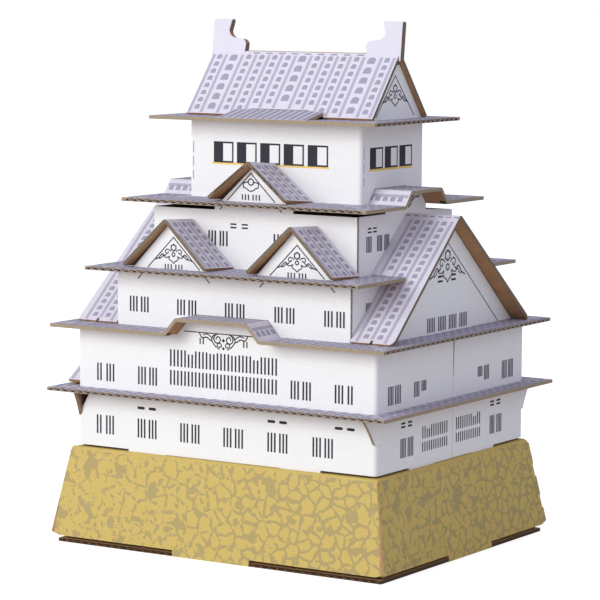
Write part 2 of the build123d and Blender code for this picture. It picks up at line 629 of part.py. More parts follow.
def fifth_wall():
    """Walls of the fifth storey, one sheet folded round four corners to a seam at the back. The
    sides are notched over the hump, and the front rises a little under the roof's flap."""
    x, y0, y1 = FIFTH_X / 2, FIFTH_FRONT, FIFTH_BACK
    foot, top = ROOF4 + BOARD, ROOF5
    plan = [(-FIT / 2, y1), (-x, y1), (-x, y0), (x, y0), (x, y1), (FIT / 2, y1)]
    wall = along(folded(plan), "Z", foot, top)
    wall -= prism(over_hump(HUMP4_FOOT, HUMP4_TOP, HUMP4_RISE, foot), "X", -BIG, BIG)
    hinge = FLAP_RIM - ROOF5_Y / 2
    under_flap = top + FLAP_RISE * (y0 - hinge) / FLAP_REACH - FIT
    wall += block(-FLAP_TOP / 2, FLAP_TOP / 2, y0, y0 + BOARD, top - OVER, under_flap)
    for above, length in CREASE_CUTS:
        cut = block(x - CREASE_WIDTH, x + OVER, y0 - OVER, y0 + CREASE_WIDTH,
                    foot + above, foot + above + length)
        wall -= [cut, other_side(cut)]
    return wall


def fifth_roof():
    """Plate with a flap cut free on three sides, hinged behind its front rim and sloping up
    into the notch of the top roof."""
    y0, z, wide, narrow = -ROOF5_Y / 2, ROOF5 + BOARD, FLAP_FOOT / 2, FLAP_TOP / 2
    hinge, tip = y0 + FLAP_RIM, y0 + FLAP_RIM + FLAP_REACH
    plate = block(-ROOF5_X / 2, ROOF5_X / 2, y0, -y0, ROOF5, z)
    plate -= block(-wide - FIT, wide + FIT, hinge, tip + FIT, ROOF5 - OVER, z + OVER)
    flap = along(folded([(y0, z), (hinge, z), (tip, z + FLAP_RISE)], open_side=-1), "X", -wide, wide)
    outline = [
        (-wide, y0), (wide, y0), (wide, tip - FLAP_TAPER), (narrow, tip), (narrow, tip + OVER),
        (-narrow, tip + OVER), (-narrow, tip), (-wide, tip - FLAP_TAPER),
    ]
    plate += flap & prism(outline, "Z", ROOF5 - OVER, z + FLAP_RISE + OVER)
    return flutes_left_right(plate, ROOF5_Y, ROOF5_X / 2, ROOF5)


def gable_roof(x, ridge, half, slope, y_front, y_back, tilt, plate, fluted=False):
    """Folded gable roof over a face that looks to the front, its ridge along Y at x. The ridge
    height is that of the front end. The back end, lower by the tilt, is cut at the wall, and
    the eaves where they come down to the plate, whose upper face is given."""
    drop = half * math.tan(math.radians(slope))
    line = [(x - half, ridge - drop), (x, ridge), (x + half, ridge - drop)]
    behind = y_back + 3 * OVER
    roof = along(folded(line, open_side=-1), "Y", y_front, behind)
    if fluted:
        length = math.hypot(half, drop)
        for sign in (-1, 1):
            way = Vector(math.cos(math.radians(slope)), 0, sign * math.sin(math.radians(slope)))
            under = Vector(-way.Z, 0, way.X) * BOARD
            middle = Vector(x - sign * half / 2, y_front, ridge - drop / 2)
            edge = Plane(origin=middle - under, x_dir=way, z_dir=(0, -1, 0))
            roof = open_flutes(roof, edge, length - FOLD_OUTER, through=behind - y_front + OVER)
    roof = turned(roof, tilt, y_front, ridge)
    roof -= block(-BIG, BIG, y_back, BIG, -BIG, BIG)
    return roof - block(-BIG, BIG, -BIG, BIG, plate - BIG, plate + FIT / 2)


def pair_roof(x):
    """One of the two gable roofs on the third roof, back to the fourth storey's wall."""
    return gable_roof(x, ROOF4 - PAIR_UNDER, PAIR_HALF, PAIR_SLOPE, -THIRD_Y / 2 - PAIR_OVERHANG,
                      -FOURTH_Y / 2 - FIT, PAIR_TILT, ROOF3 + BOARD)


def middle_roof():
    """Gable roof on the fourth roof, back to the fifth storey's wall."""
    return gable_roof(0, ROOF5 - MIDDLE_UNDER, MIDDLE_HALF, MIDDLE_SLOPE, -FOURTH_Y / 2 - MIDDLE_OVERHANG,
                      FIFTH_FRONT - FIT, MIDDLE_TILT, ROOF4 + BOARD, fluted=True)


def big_half():
    """How far the eaves of the large gables are from the middle."""
    return ROOF2_Y / 2 - BIG_INSET_Y


def big_slope():
    """Rise over run of the large gable roofs."""
    return (BIG_RIDGE - ROOF2 - BOARD - BIG_EAVE_LIFT) / big_half()


def big_roof():
    """Right large gable roof, one sheet folded at the ridge. Its inner edge meets the third
    storey's wall below the third roof and the fourth storey's wall above it. Its outer edge
    comes out towards the eaves, whose corners are rounded, and a nick shows in the front eave."""
    plate, half = ROOF2 + BOARD, big_half()
    z = plate + BIG_EAVE_LIFT
    inner, outer, ridge = FOURTH_X / 2 + FIT, ROOF2_X / 2 - BIG_INSET_EAVE, ROOF2_X / 2 - BIG_INSET_RIDGE
    line = [(BIG_Y - half, z), (BIG_Y, BIG_RIDGE), (BIG_Y + half, z)]
    sheet = along(folded(line, open_side=-1), "X", inner, outer)
    front, back = BIG_Y - half - FIT, BIG_Y + half + FIT
    edge = FilletPolyline((inner - OVER, front), (outer, front), (ridge, BIG_Y), (outer, back),
                          (inner - OVER, back), radius=BIG_CORNER)
    plan = make_face([*edge.edges(), Line((inner - OVER, back), (inner - OVER, front))])
    sheet &= along(plan, "Z", plate + FIT / 2, BIG)
    nick_x = outer - BIG_NICK_X
    sheet -= block(nick_x - BIG_NICK / 2, nick_x + BIG_NICK / 2, -BIG, line[0][0] + BIG_NICK, 0, BIG)
    return sheet - block(0, THIRD_X / 2 + FIT, -BIG, BIG, 0, ROOF3 + BOARD + FIT)


def big_face():
    """Right large gable face, standing on the second roof by one wide tab."""
    tip = BIG_RIDGE - BOARD * math.hypot(1, big_slope()) - FIT - FOLD_INNER
    foot, x = ROOF2 + BOARD + BIG_FACE_LIFT, ROOF2_X / 2 - BIG_INSET_FACE
    half = (tip - foot) / big_slope()
    outline = [(BIG_Y - half, foot), (BIG_Y, tip), (BIG_Y + half, foot),
               *tab_points(BIG_TAB_Y, BIG_TAB, ROOF2, foot, foot)]
    return prism(outline, "X", x - BOARD, x)


def small_roof():
    """Small gable roof on the left of the first roof, out from the second storey's wall."""
    z = ROOF1 + BOARD + SMALL_EAVE_LIFT
    rise = SMALL_HALF * math.tan(math.radians(SMALL_SLOPE))
    line = [(SMALL_Y - SMALL_HALF, z), (SMALL_Y, z + rise), (SMALL_Y + SMALL_HALF, z)]
    wall = -LOWER_X / 2 - FIT
    return along(folded(line, open_side=-1), "X", wall - SMALL_REACH, wall)


def small_face():
    """Triangle under the small gable roof."""
    foot = ROOF1 + BOARD
    slope = math.tan(math.radians(SMALL_SLOPE))
    tip = foot + SMALL_EAVE_LIFT + SMALL_HALF * slope - BOARD * math.hypot(1, slope) - FIT - FOLD_INNER
    half = (tip - foot) / slope
    outer = -LOWER_X / 2 - FIT - SMALL_REACH + SMALL_FACE_RECESS
    outline = [(SMALL_Y - half, foot), (SMALL_Y + half, foot), (SMALL_Y, tip)]
    return prism(outline, "X", outer, outer + BOARD)


def finial_outline():
    """Outline of the right ridge ornament: a block that widens into the roof below, with a
    curled notch on its inner side, under a level folded top edge."""
    outer, crown = TOP_LENGTH / 2 + FINIAL_PAST, TOP_SHOULDER_Z + FINIAL_RISE
    root = TOP_SHOULDER_Z - FINIAL_ROOT_DEPTH
    top = (outer - FINIAL_TOP, crown)
    neck = (outer - FINIAL_NECK, crown - NECK_DROP)
    curl = (outer - FINIAL_CURL, crown - CURL_DROP)
    shoulder = (outer - FINIAL_SHOULDER, crown - SHOULDER_DROP)
    foot = (outer - FINIAL_FOOT, crown - FOOT_DROP)
    ridge = (outer - FINIAL_ROOT, TOP_SHOULDER_Z)
    return make_face([
        Line((outer, root), (outer, crown)), Line((outer, crown), top), Line(top, neck),
        SagittaArc(neck, curl, CURL_BULGE), Line(curl, shoulder),
        SagittaArc(shoulder, foot, -SHOULDER_BULGE), Line(foot, ridge),
        Line(ridge, (ridge[0], root)), Line((ridge[0], root), (outer, root)),
    ])


def finial():
    """Right ridge ornament, two layers that hang together at the folded top, where they are
    pressed thinner. It leans back a little from the ridge."""
    crown, root = TOP_SHOULDER_Z + FINIAL_RISE, TOP_SHOULDER_Z - FINIAL_ROOT_DEPTH
    front, back, pinch = TOP_Y - BOARD, TOP_Y + BOARD, crown - FINIAL_PINCH_DEPTH
    doubled = prism([
        (front, root), (front, pinch), (front + FINIAL_PINCH, crown),
        (back - FINIAL_PINCH, crown), (back, pinch), (back, root),
    ], "X", 0, BIG)
    doubled -= block(0, BIG, TOP_Y - FIT / 2, TOP_Y + FIT / 2, TOP_SHOULDER_Z + BOARD, crown - BOARD)
    doubled &= along(finial_outline(), "Y", front, back)
    return turned(doubled, FINIAL_LEAN, TOP_Y, TOP_SHOULDER_Z)


def top_steepness():
    """Rise over run of the top roof's slopes, which stop either side of the doubled ridge."""
    return TOP_RISE / (TOP_HALF - BOARD)


def top_roof():
    """Top roof with the two ridge ornaments, one sheet: at each end of the ridge the sheet goes
    straight up, folds over the level top and comes down again as a second layer."""
    half, plate = TOP_LENGTH / 2, ROOF5 + BOARD
    eave = plate + TOP_EAVE_LIFT
    front, steep = TOP_Y - TOP_HALF, top_steepness()
    line = [(front, eave), (TOP_Y, eave + TOP_HALF * steep), (TOP_Y + TOP_HALF, eave)]
    roof = along(folded(line, open_side=-1), "X", -half, half)
    roof -= block(-BIG, BIG, -BIG, BIG, plate - OVER, plate + FIT / 2)
    wide, narrow, crown = FLAP_FOOT / 2 + FIT, FLAP_TOP / 2 + FIT, plate + FLAP_RISE + FIT
    taper = FLAP_RIM + FLAP_REACH - FLAP_TAPER - ROOF5_Y / 2
    bend = eave + (taper - front) * steep + FIT
    notch = [(-wide, eave - OVER), (wide, eave - OVER), (wide, bend), (narrow, crown),
             (-narrow, crown), (-wide, bend)]
    roof -= prism(notch, "Y", -BIG, TOP_Y - TOP_HALF / 2)
    return roof + [finial(), other_side(finial())]


def top_face():
    """Right gable face under the top roof, its tip cut off."""
    foot, steep, x = ROOF5 + BOARD, top_steepness(), TOP_LENGTH / 2 - TOP_FACE_RECESS
    inside = TOP_HALF + TOP_EAVE_LIFT / steep - BOARD * math.hypot(1, 1 / steep) - FIT
    half = TOP_FACE_TIP / 2
    tip = foot + (inside - half) * steep
    outline = [(TOP_Y - inside, foot), (TOP_Y + inside, foot), (TOP_Y + half, tip), (TOP_Y - half, tip)]
    return prism(outline, "X", x - BOARD, x)


def build():
    """Every sheet of the castle by name."""
    pieces = {
        "floor_plate": floor_plate(),
        "stone_base": stone_base(),
        "lower_front_wall": lower_wall(FRONT_FIN_LEAN),
        "lower_back_wall": Rot(Z=180) * lower_wall(0),
        "first_roof": first_roof(),
        "left_small_gable_roof": small_roof(),
        "left_small_gable_face": small_face(),
        "second_roof": second_roof(),
        "third_front_wall": third_front_wall(),
        "third_back_wall": third_back_wall(),
        "third_right_wall": third_side_wall(),
        "third_roof": third_roof(),
        "front_left_gable_roof": pair_roof(-PAIR_X),
        "front_right_gable_roof": pair_roof(PAIR_X),
        "right_big_gable_roof": big_roof(),
        "right_big_gable_face": big_face(),
        "fourth_front_wall": fourth_front_wall(),
        "fourth_back_wall": fourth_back_wall(),
        "fourth_right_wall": fourth_side_wall(),
        "fourth_roof": fourth_roof(),
        "front_middle_gable_roof": middle_roof(),
        "fifth_wall": fifth_wall(),
        "fifth_roof": fifth_roof(),
        "top_roof": top_roof(),
        "top_right_gable_face": top_face(),
    }
    for name in ("third_right_wall", "right_big_gable_roof", "right_big_gable_face",
                 "fourth_right_wall", "top_right_gable_face"):
        pieces[name.replace("right", "left")] = other_side(pieces[name])
    return pieces


os.makedirs("parts", exist_ok=True)
for piece_name, piece in build().items():
    export_step(piece, f"parts/{piece_name}.step")
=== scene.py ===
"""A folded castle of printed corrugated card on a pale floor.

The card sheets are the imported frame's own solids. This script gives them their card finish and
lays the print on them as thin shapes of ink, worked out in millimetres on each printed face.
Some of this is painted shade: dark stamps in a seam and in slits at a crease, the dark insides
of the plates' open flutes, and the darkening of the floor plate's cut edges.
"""

import math
from collections import namedtuple

import bpy
import numpy as np
from mathutils import Matrix, Vector


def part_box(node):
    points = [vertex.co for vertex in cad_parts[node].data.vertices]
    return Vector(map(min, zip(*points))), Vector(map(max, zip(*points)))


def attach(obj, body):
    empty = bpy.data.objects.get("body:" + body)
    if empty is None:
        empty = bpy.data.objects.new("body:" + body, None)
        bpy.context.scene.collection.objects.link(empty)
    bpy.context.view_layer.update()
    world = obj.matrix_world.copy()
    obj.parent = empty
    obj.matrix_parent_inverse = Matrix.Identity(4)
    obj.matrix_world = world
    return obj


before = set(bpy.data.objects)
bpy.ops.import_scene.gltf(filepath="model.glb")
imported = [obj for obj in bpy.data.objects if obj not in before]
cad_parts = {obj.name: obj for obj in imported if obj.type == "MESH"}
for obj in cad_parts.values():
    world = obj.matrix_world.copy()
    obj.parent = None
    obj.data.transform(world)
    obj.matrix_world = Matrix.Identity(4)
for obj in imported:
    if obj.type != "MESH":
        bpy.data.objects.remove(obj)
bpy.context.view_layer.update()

MM = 0.001
BOARD = 1.2              # thickness of the card
FINIAL_PAST = 0.75       # upright ends of the top roof, past the ends of its slopes

# Colours of the print and the card, sRGB
WHITE_PRINT = "#F4F5F6"
ROOF_GROUND = "#E1DEEB"
ROOF_STRIP = "#B7B4C6"
ROOF_MARK = "#A5A2B8"
ROOF_PLATE = "#C6C3D4"
PLATE_MARK = "#908DA3"
KRAFT = "#C89A70"
KRAFT_DARK = "#9C7551"
CUT_EDGE = "#7C6E5D"
PLATE_EDGE = "#A3937C"
WALL_EDGE = "#8F7860"
# cut edge of the floor plate, darkened with painted shade from the base standing over it
FLOOR_EDGE_AND_SHADE = "#4B3D2A"
# painted shade: the dark inside the plates' open flutes
FLUTE_SHADE = "#3B3228"
STONE_YELLOW = "#D2B96C"
STONE_VEIN = "#B5A36F"
INK = "#32333D"
INK_SHADE = "#E4E3EB"
GOLD_LINE = "#F1CE74"

# Colours and strengths of the studio
FLOOR = "#DCDCDC"
WORLD_TINT = "#F1F2FF"
KEY_TINT = "#FFFEF8"
FILL_TINT = "#F1EEFF"
WORLD_STRENGTH = 0.58
FLOOR_GLOW = 0.72        # lifts the floor to white where the camera sees it

# Sizes of the card's and the prints' patterns
FIBRE = 1 / 1.3          # a clump of fibres, drawn coarser than a real one so that it shows
MOTTLE = 6.25            # a darker cloud in the brown liner
INK_GRAIN = 0.4          # a patch of thinner ink
STONE = 1 / 0.225        # a printed stone
STONE_BEND = 6.25        # a bend of the stones' joints, and a grey blot between stones
STONE_BREAK = 1 / 0.45   # a break in a joint
STONE_SPECK = 1.25
STONE_SHIFT = 5.5        # how far the bends carry a joint

# What the parts of a normal say of a face
FACING = 0.35            # it looks one way where the normal has more than this of that way
UPRIGHT = 0.3            # it is upright where the normal has less than this upwards
LEVEL = 0.97             # it is level where the normal has more than this upwards

# Films of ink on the card
INK_SINK = 0.02          # how far a film's underside lies in the card
INK_STEP = 0.0005        # from one call's shapes up to the next one's
STRIP_LIFT = 0.014       # top of the tile strips, and of those on the plates
Film = namedtuple("Film", "ink colour slot lift")
BARS, PANES, LINES = "printed_bars_crests_and_painted_shadows", "printed_window_panes", "printed_yellow_lines"
STRIPS, MARKS = "printed_tile_strips", "printed_tile_marks"
PLATE_TILES, DASHES = "printed_plate_tiles", "printed_ridge_dashes"
FILMS = {
    # the bars' film and its dark grey ink also carry painted shadow: the lower seams and the fifth
    # storey's crease slits
    BARS: Film("dark_grey_ink_and_painted_shadow", INK, "white_print_card", 0.025),
    PANES: Film("mid_grey_ink", INK_SHADE, "white_print_card", 0.012),
    LINES: Film("soft_yellow_ink", GOLD_LINE, "white_print_card", 0.02),
    STRIPS: Film("lavender_grey_ink", ROOF_STRIP, "roof_print_card", STRIP_LIFT),
    MARKS: Film("deep_lavender_ink", ROOF_MARK, "roof_print_card", 0.02),
    PLATE_TILES: Film("deep_lavender_ink_on_plates", PLATE_MARK, "roof_print_card", 0.02),
    DASHES: Film("ridge_ink", PLATE_MARK, "roof_print_card", 0.03),
}

# Printed tile pattern of the roofs
STRIP = 1.2              # width of a dark strip
MARK = 2.0               # a tile's dark mark in a narrow column, width and height
MARK_PITCH = 3.12
WIDE_COLUMN = 6.0        # columns over this are wide ones
WIDE_MARK = 3.0
WIDE_MARK_TALL = 2.7
WIDE_PITCH = 4.2
SHORTEST_STRIP = 0.6
PLATE_PITCH = 5.1        # from one strip to the next on a level plate
PLATE_MARGIN = 2.2       # least room from a plate's corner to its first strip
PLATE_RIM = 0.35         # plain rim along the eave
CORNER_ROOM = 0.2        # half of the plain line between two sides' tiles
SHORTEST_PLATE_STRIP = 0.8

# Printed windows, and the foot and head of each row of them
FIRST_ROW = 38.2, 44.7
SECOND_ROW = 56.5, 62.6
THIRD_ROW = 80.5, 85.8
FOURTH_ROW = 103.25, 108.4
FOURTH_SIDE_ROW = 103.4, 108.7
BIG_GABLE_ROW = 76.5, 81.3
BAR = 0.66               # width of a window bar
BAR_STEP = 1.3           # from one bar to the next
BAR_GROUP = 4.6          # from the first bar of a group of three to that of the next
SHADED_BAR = 0.58
SHADED_INSET = 0.3       # first and last bar's middles in from a grey pane's sides
SMALL_BAR = 0.5
LATTICE_BAR = 0.62
LATTICE_STEP = 1.455

# Printed lines
LINE = 0.38
FINE_LINE = 0.34
FRAME_LINE = 0.6
LEAST_LINE = 0.36        # a crest's lines are no thinner than this at any size
CURVE_STEPS = 8          # points on each span of a smooth curve
CURL_STEPS = 22          # points on a curl

# Ways that a printed face looks, each with the direction in which its u runs
FRONT, BACK = ((0, -1, 0), (1, 0, 0)), ((0, 1, 0), (-1, 0, 0))
RIGHT, LEFT = ((1, 0, 0), (0, 1, 0)), ((-1, 0, 0), (0, -1, 0))
FRONT_SLOPE, BACK_SLOPE = ((0, -0.65, 0.76), FRONT[1]), ((0, 0.65, 0.76), BACK[1])
RIGHT_SLOPE, LEFT_SLOPE = ((0.65, 0, 0.76), RIGHT[1]), ((-0.65, 0, 0.76), LEFT[1])
UP = (0, 0, 1)
FLAP_SLOPE = ((0, -0.22, 0.98), FRONT[1])
FLAP_DEPTH = 148.8       # of the flap's top, along its slope's normal

Face = namedtuple("Face", "u v n depth low high sides")

# Kinds of node that come often
MATH, VECTOR, RANGE = "ShaderNodeMath", "ShaderNodeVectorMath", "ShaderNodeMapRange"
MIX, NOISE = "ShaderNodeMixRGB", "ShaderNodeTexNoise"
SEPARATE, GLOSS = "ShaderNodeSeparateXYZ", "ShaderNodeBsdfPrincipled"


def linear(colour):
    """Linear RGBA of an sRGB hex colour."""
    parts = np.array([int(colour[i:i + 2], 16) for i in (1, 3, 5)]) / 255
    low, high = parts / 12.92, ((parts + 0.055) / 1.055) ** 2.4
    return (*np.where(parts <= 0.04045, low, high), 1.0)


def add(tree, kind, inputs=(), **settings):
    """Adds a node, sets its attributes, and fills or links its inputs, which are given in order
    or by name or number. A node given as a value stands for its first output."""
    made = tree.nodes.new(kind)
    for key, value in settings.items():
        setattr(made, key, value)
    for key, value in inputs.items() if isinstance(inputs, dict) else enumerate(inputs):
        if isinstance(value, bpy.types.Node):
            value = value.outputs[0]
        if isinstance(value, bpy.types.NodeSocket):
            tree.links.new(value, made.inputs[key])
        else:
            made.inputs[key].default_value = value
    return made


def new_material(name):
    """Empty material and its tree."""
    material = bpy.data.materials.new(name)
    material.use_nodes = True
    material.node_tree.nodes.clear()
    return material, material.node_tree


def camera():
    """Camera worked out from the photograph's plate corners: its distance, height and turn in
    the castle's own frame, looking slightly down past the right front corner."""
    turn, tilt, roll = (math.radians(a) for a in (32.5147, 6.3805, 0.3044))
    side, height, distance = -1.162 * MM, 82.82 * MM, 998.18 * MM
    ahead = Vector((-math.sin(turn) * math.cos(tilt), math.cos(turn) * math.cos(tilt), -math.sin(tilt)))
    level = Vector((math.cos(turn), math.sin(turn), 0))
    up = level.cross(ahead)
    right, up = (
        math.cos(roll) * level + math.sin(roll) * up,
        math.cos(roll) * up - math.sin(roll) * level,
    )
    place = side * level + Vector((0, 0, height)) - distance * ahead
    lens = bpy.data.cameras.new("camera")
    lens.sensor_width = 36.0
    lens.lens = 173.18
    lens.clip_start = 0.05
    lens.clip_end = 20.0
    eye = bpy.data.objects.new("camera", lens)
    eye.matrix_world = Matrix((
        (right.x, up.x, -ahead.x, place.x),
        (right.y, up.y, -ahead.y, place.y),
        (right.z, up.z, -ahead.z, place.z),
        (0, 0, 0, 1),
    ))
    bpy.context.scene.collection.objects.link(eye)
    bpy.context.scene.camera = eye


def lamp(name, place, width, power, colour):
    """Square soft lamp at a place in metres, aimed at the castle's upper half."""
    aim = Vector((0, 0, 0.12))
    light = bpy.data.lights.new(name, "AREA")
    light.size = width
    light.energy = power
    light.color = linear(colour)[:3]
    body = bpy.data.objects.new(name, light)
    body.location = place
    body.rotation_euler = (aim - Vector(place)).to_track_quat("-Z", "Y").to_euler()
    bpy.context.scene.collection.objects.link(body)


def studio():
    """White floor that the camera sees as plain white, a pale world, a large soft lamp in front to
    the left, and a weak cool one on the right, which leaves that side in half shade."""
    white = (1, 1, 1, 1)
    world = bpy.data.worlds.new("studio")
    bpy.context.scene.world = world
    world.use_nodes = True
    tree = world.node_tree
    tree.nodes.clear()
    rays = add(tree, "ShaderNodeLightPath").outputs
    seen = add(tree, MATH, (rays["Is Camera Ray"], rays["Is Glossy Ray"]), operation="MAXIMUM")
    tint = add(tree, MIX, (seen, linear(WORLD_TINT), white))
    strength = add(tree, RANGE, {"Value": seen, "To Min": WORLD_STRENGTH, "To Max": 1.0})
    shine = add(tree, "ShaderNodeBackground", {"Color": tint, "Strength": strength})
    add(tree, "ShaderNodeOutputWorld", {"Surface": shine})

    material, tree = new_material("studio_floor")
    rays = add(tree, "ShaderNodeLightPath").outputs
    surface = add(tree, "ShaderNodeBsdfDiffuse", {"Color": linear(FLOOR)})
    glow = add(tree, "ShaderNodeEmission", {"Color": white, "Strength": FLOOR_GLOW})
    both = add(tree, "ShaderNodeAddShader", (surface, glow))
    pick = add(tree, "ShaderNodeMixShader", (rays["Is Camera Ray"], surface, both))
    add(tree, "ShaderNodeOutputMaterial", {"Surface": pick})
    half = 4.0
    mesh = bpy.data.meshes.new("floor")
    mesh.from_pydata([(-half, -half, 0), (half, -half, 0), (half, half, 0), (-half, half, 0)],
                     [], [(0, 1, 2, 3)])
    mesh.materials.append(material)
    floor = bpy.data.objects.new("floor", mesh)
    bpy.context.scene.collection.objects.link(floor)
    lamp("key", (-0.42, -1.12, 0.56), width=0.7, power=10.0, colour=KEY_TINT)
    lamp("fill", (1.3, -0.35, 0.6), width=0.9, power=1.3, colour=FILL_TINT)


def corners(node):
    """Lowest and highest corner of a card sheet in millimetres."""
    return np.round(np.array(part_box(node)) / MM, 3)


def board(name, print_colour, printed, edge=None, edge_colour=CUT_EDGE, shaded_hollow=None):
    """Corrugated card with one printed liner: thin brown board of recycled fibre, pressed flat
    and unvarnished, so it is matt and a little fibrous. printed builds the mask of the printed
    side from the object's own normals and places in millimetres, print_colour may build the
    colour of a print that isn't plain, edge the mask of what has the colour of cut edges, and the
    last argument the mask of the flutes' insides, which are painted dark as their shade. The
    clumps of fibre are drawn as coarse as they need to be to show."""
    material, tree = new_material(name)
    place = add(tree, "ShaderNodeTexCoord").outputs
    normal = add(tree, SEPARATE, (place["Normal"],)).outputs
    in_mm = add(tree, VECTOR, {0: place["Object"], "Scale": 1 / MM}, operation="SCALE")
    spot = add(tree, SEPARATE, (in_mm,)).outputs

    fibre = add(tree, NOISE, {"Vector": in_mm, "Scale": 1 / FIBRE, "Detail": 4.0, "Roughness": 0.6})
    mottle = add(tree, NOISE, {"Vector": in_mm, "Scale": 1 / MOTTLE, "Detail": 3.0})
    bare = add(tree, MIX, (mottle, linear(KRAFT), linear(KRAFT_DARK)))
    if edge:
        bare = add(tree, MIX, (edge(tree, normal), bare, linear(edge_colour)))
    if shaded_hollow:
        # painted shade inside the open flutes
        bare = add(tree, MIX, (shaded_hollow(tree, normal, spot), bare, linear(FLUTE_SHADE)))
    ground = print_colour(tree, normal, spot) if callable(print_colour) else linear(print_colour)
    dark, pale = 0.3, 0.7
    speck = add(tree, RANGE, (fibre, dark, pale, 0.84, 1.12))
    paper = add(tree, RANGE, (fibre, dark, pale, 0.965, 1.02))
    brown = add(tree, MIX, (1.0, bare, speck), blend_type="MULTIPLY")
    ink = add(tree, MIX, (1.0, ground, paper), blend_type="MULTIPLY")
    colour = add(tree, MIX, (printed(tree, normal, spot), brown, ink))
    bump = add(tree, "ShaderNodeBump", {"Strength": 0.12, "Distance": 0.08 * MM, "Height": fibre})
    skin = add(tree, GLOSS, {"Base Color": colour, "Roughness": 0.82, "Specular IOR Level": 0.25,
                             "Normal": bump})
    add(tree, "ShaderNodeOutputMaterial", {"Surface": skin})
    return material


def printing_ink(name, colour):
    """Water-based flexographic ink, rolled on as a thin film without varnish, so it is matt and
    lets the fibre of the liner show in patches."""
    material, tree = new_material(name)
    place = add(tree, "ShaderNodeTexCoord").outputs["Object"]
    grain = add(tree, NOISE, {"Vector": place, "Scale": 1 / (INK_GRAIN * MM), "Detail": 3.0})
    patchy = add(tree, RANGE, (grain, 0.3, 0.7, 0.92, 1.1))
    tone = add(tree, MIX, (1.0, linear(colour), patchy), blend_type="MULTIPLY")
    skin = add(tree, GLOSS, {"Base Color": tone, "Roughness": 0.75, "Specular IOR Level": 0.25})
    add(tree, "ShaderNodeOutputMaterial", {"Surface": skin})
    return material


def outward(tree, normal, spot, axis):
    """Mask of faces that look away from the castle's middle along an axis."""
    side = add(tree, MATH, (spot[axis],), operation="SIGN")
    away = add(tree, MATH, (normal[axis], side), operation="MULTIPLY")
    return add(tree, MATH, (away, FACING), operation="GREATER_THAN")


def upright(tree, normal):
    """Upright faces. On a level or sloping plate they are its cut edges, which look greyer."""
    part = add(tree, MATH, (normal[2],), operation="ABSOLUTE")
    return add(tree, MATH, (part, UPRIGHT), operation="LESS_THAN")


def all_bare(tree, normal):
    """All of a wall that isn't printed: its cut edges and its inside."""
    return 1.0


def no_side(tree, normal, spot):
    """Plain card without a print."""
    return 0.0


def up_side(tree, normal, spot):
    """Upper faces of roofs."""
    return add(tree, MATH, (normal[2], FACING), operation="GREATER_THAN")


def front_side(tree, normal, spot):
    """Faces towards the front."""
    return add(tree, MATH, (normal[1], -FACING), operation="LESS_THAN")


def back_side(tree, normal, spot):
    """Faces towards the back."""
    return add(tree, MATH, (normal[1], FACING), operation="GREATER_THAN")


def left_right_side(tree, normal, spot):
    """Faces away to the left or right."""
    return outward(tree, normal, spot, 0)


def outer_side(tree, normal, spot):
    """Outer faces of walls folded round the storey, but not their slanting cut edges."""
    aside, ahead = outward(tree, normal, spot, 0), outward(tree, normal, spot, 1)
    away = add(tree, MATH, (aside, ahead), operation="MAXIMUM")
    return add(tree, MATH, (away, upright(tree, normal)), operation="MULTIPLY")


def stone_side(tree, normal, spot):
    """Outer faces of the base's panels, and its deck. The side panels' ends towards the front
    and back are cut edges, but the printed liner is drawn round them almost to the corner, to a
    line that slants as they do: the width grows by 0.1226 for each millimetre down. The front
    panel stands 0.9 mm further left."""
    width_at_ground, slant, further_left = 66.05, 0.1226, 0.9
    shifted = add(tree, MATH, (spot[0], further_left), operation="ADD")
    width = add(tree, MATH, (shifted,), operation="ABSOLUTE")
    lowered = add(tree, MATH, (spot[2], slant, width), operation="MULTIPLY_ADD")
    inner = add(tree, MATH, (lowered, width_at_ground), operation="LESS_THAN")
    ahead = add(tree, MATH, (outward(tree, normal, spot, 1), inner), operation="MULTIPLY")
    away = add(tree, MATH, (outward(tree, normal, spot, 0), ahead), operation="MAXIMUM")
    panels = add(tree, MATH, (away, upright(tree, normal)), operation="MULTIPLY")
    deck = add(tree, MATH, (normal[2], UPRIGHT), operation="GREATER_THAN")
    return add(tree, MATH, (panels, deck), operation="MAXIMUM")


def top_side(tree, normal, spot):
    """Top roof's slopes and the flat faces of its upright fish-tail ends, whose cut edges between
    the ridge and the crown are bare."""
    ridge_height, crown_height = 168.2, 178.8
    least_ahead, least_up, fold_up = 0.5, -0.1, 0.8
    part = add(tree, MATH, (normal[1],), operation="ABSOLUTE")
    ahead = add(tree, MATH, (part, least_ahead), operation="GREATER_THAN")
    outside = add(tree, MATH, (normal[2], least_up), operation="GREATER_THAN")
    slopes = add(tree, MATH, (ahead, outside), operation="MULTIPLY")
    up = add(tree, MATH, (normal[2], fold_up), operation="GREATER_THAN")
    ridge = add(tree, MATH, (spot[2], ridge_height), operation="LESS_THAN")
    crown = add(tree, MATH, (spot[2], crown_height), operation="GREATER_THAN")
    either = add(tree, MATH, (ridge, crown), operation="MAXIMUM")
    folds = add(tree, MATH, (up, either), operation="MULTIPLY")
    return add(tree, MATH, (slopes, folds), operation="MAXIMUM")


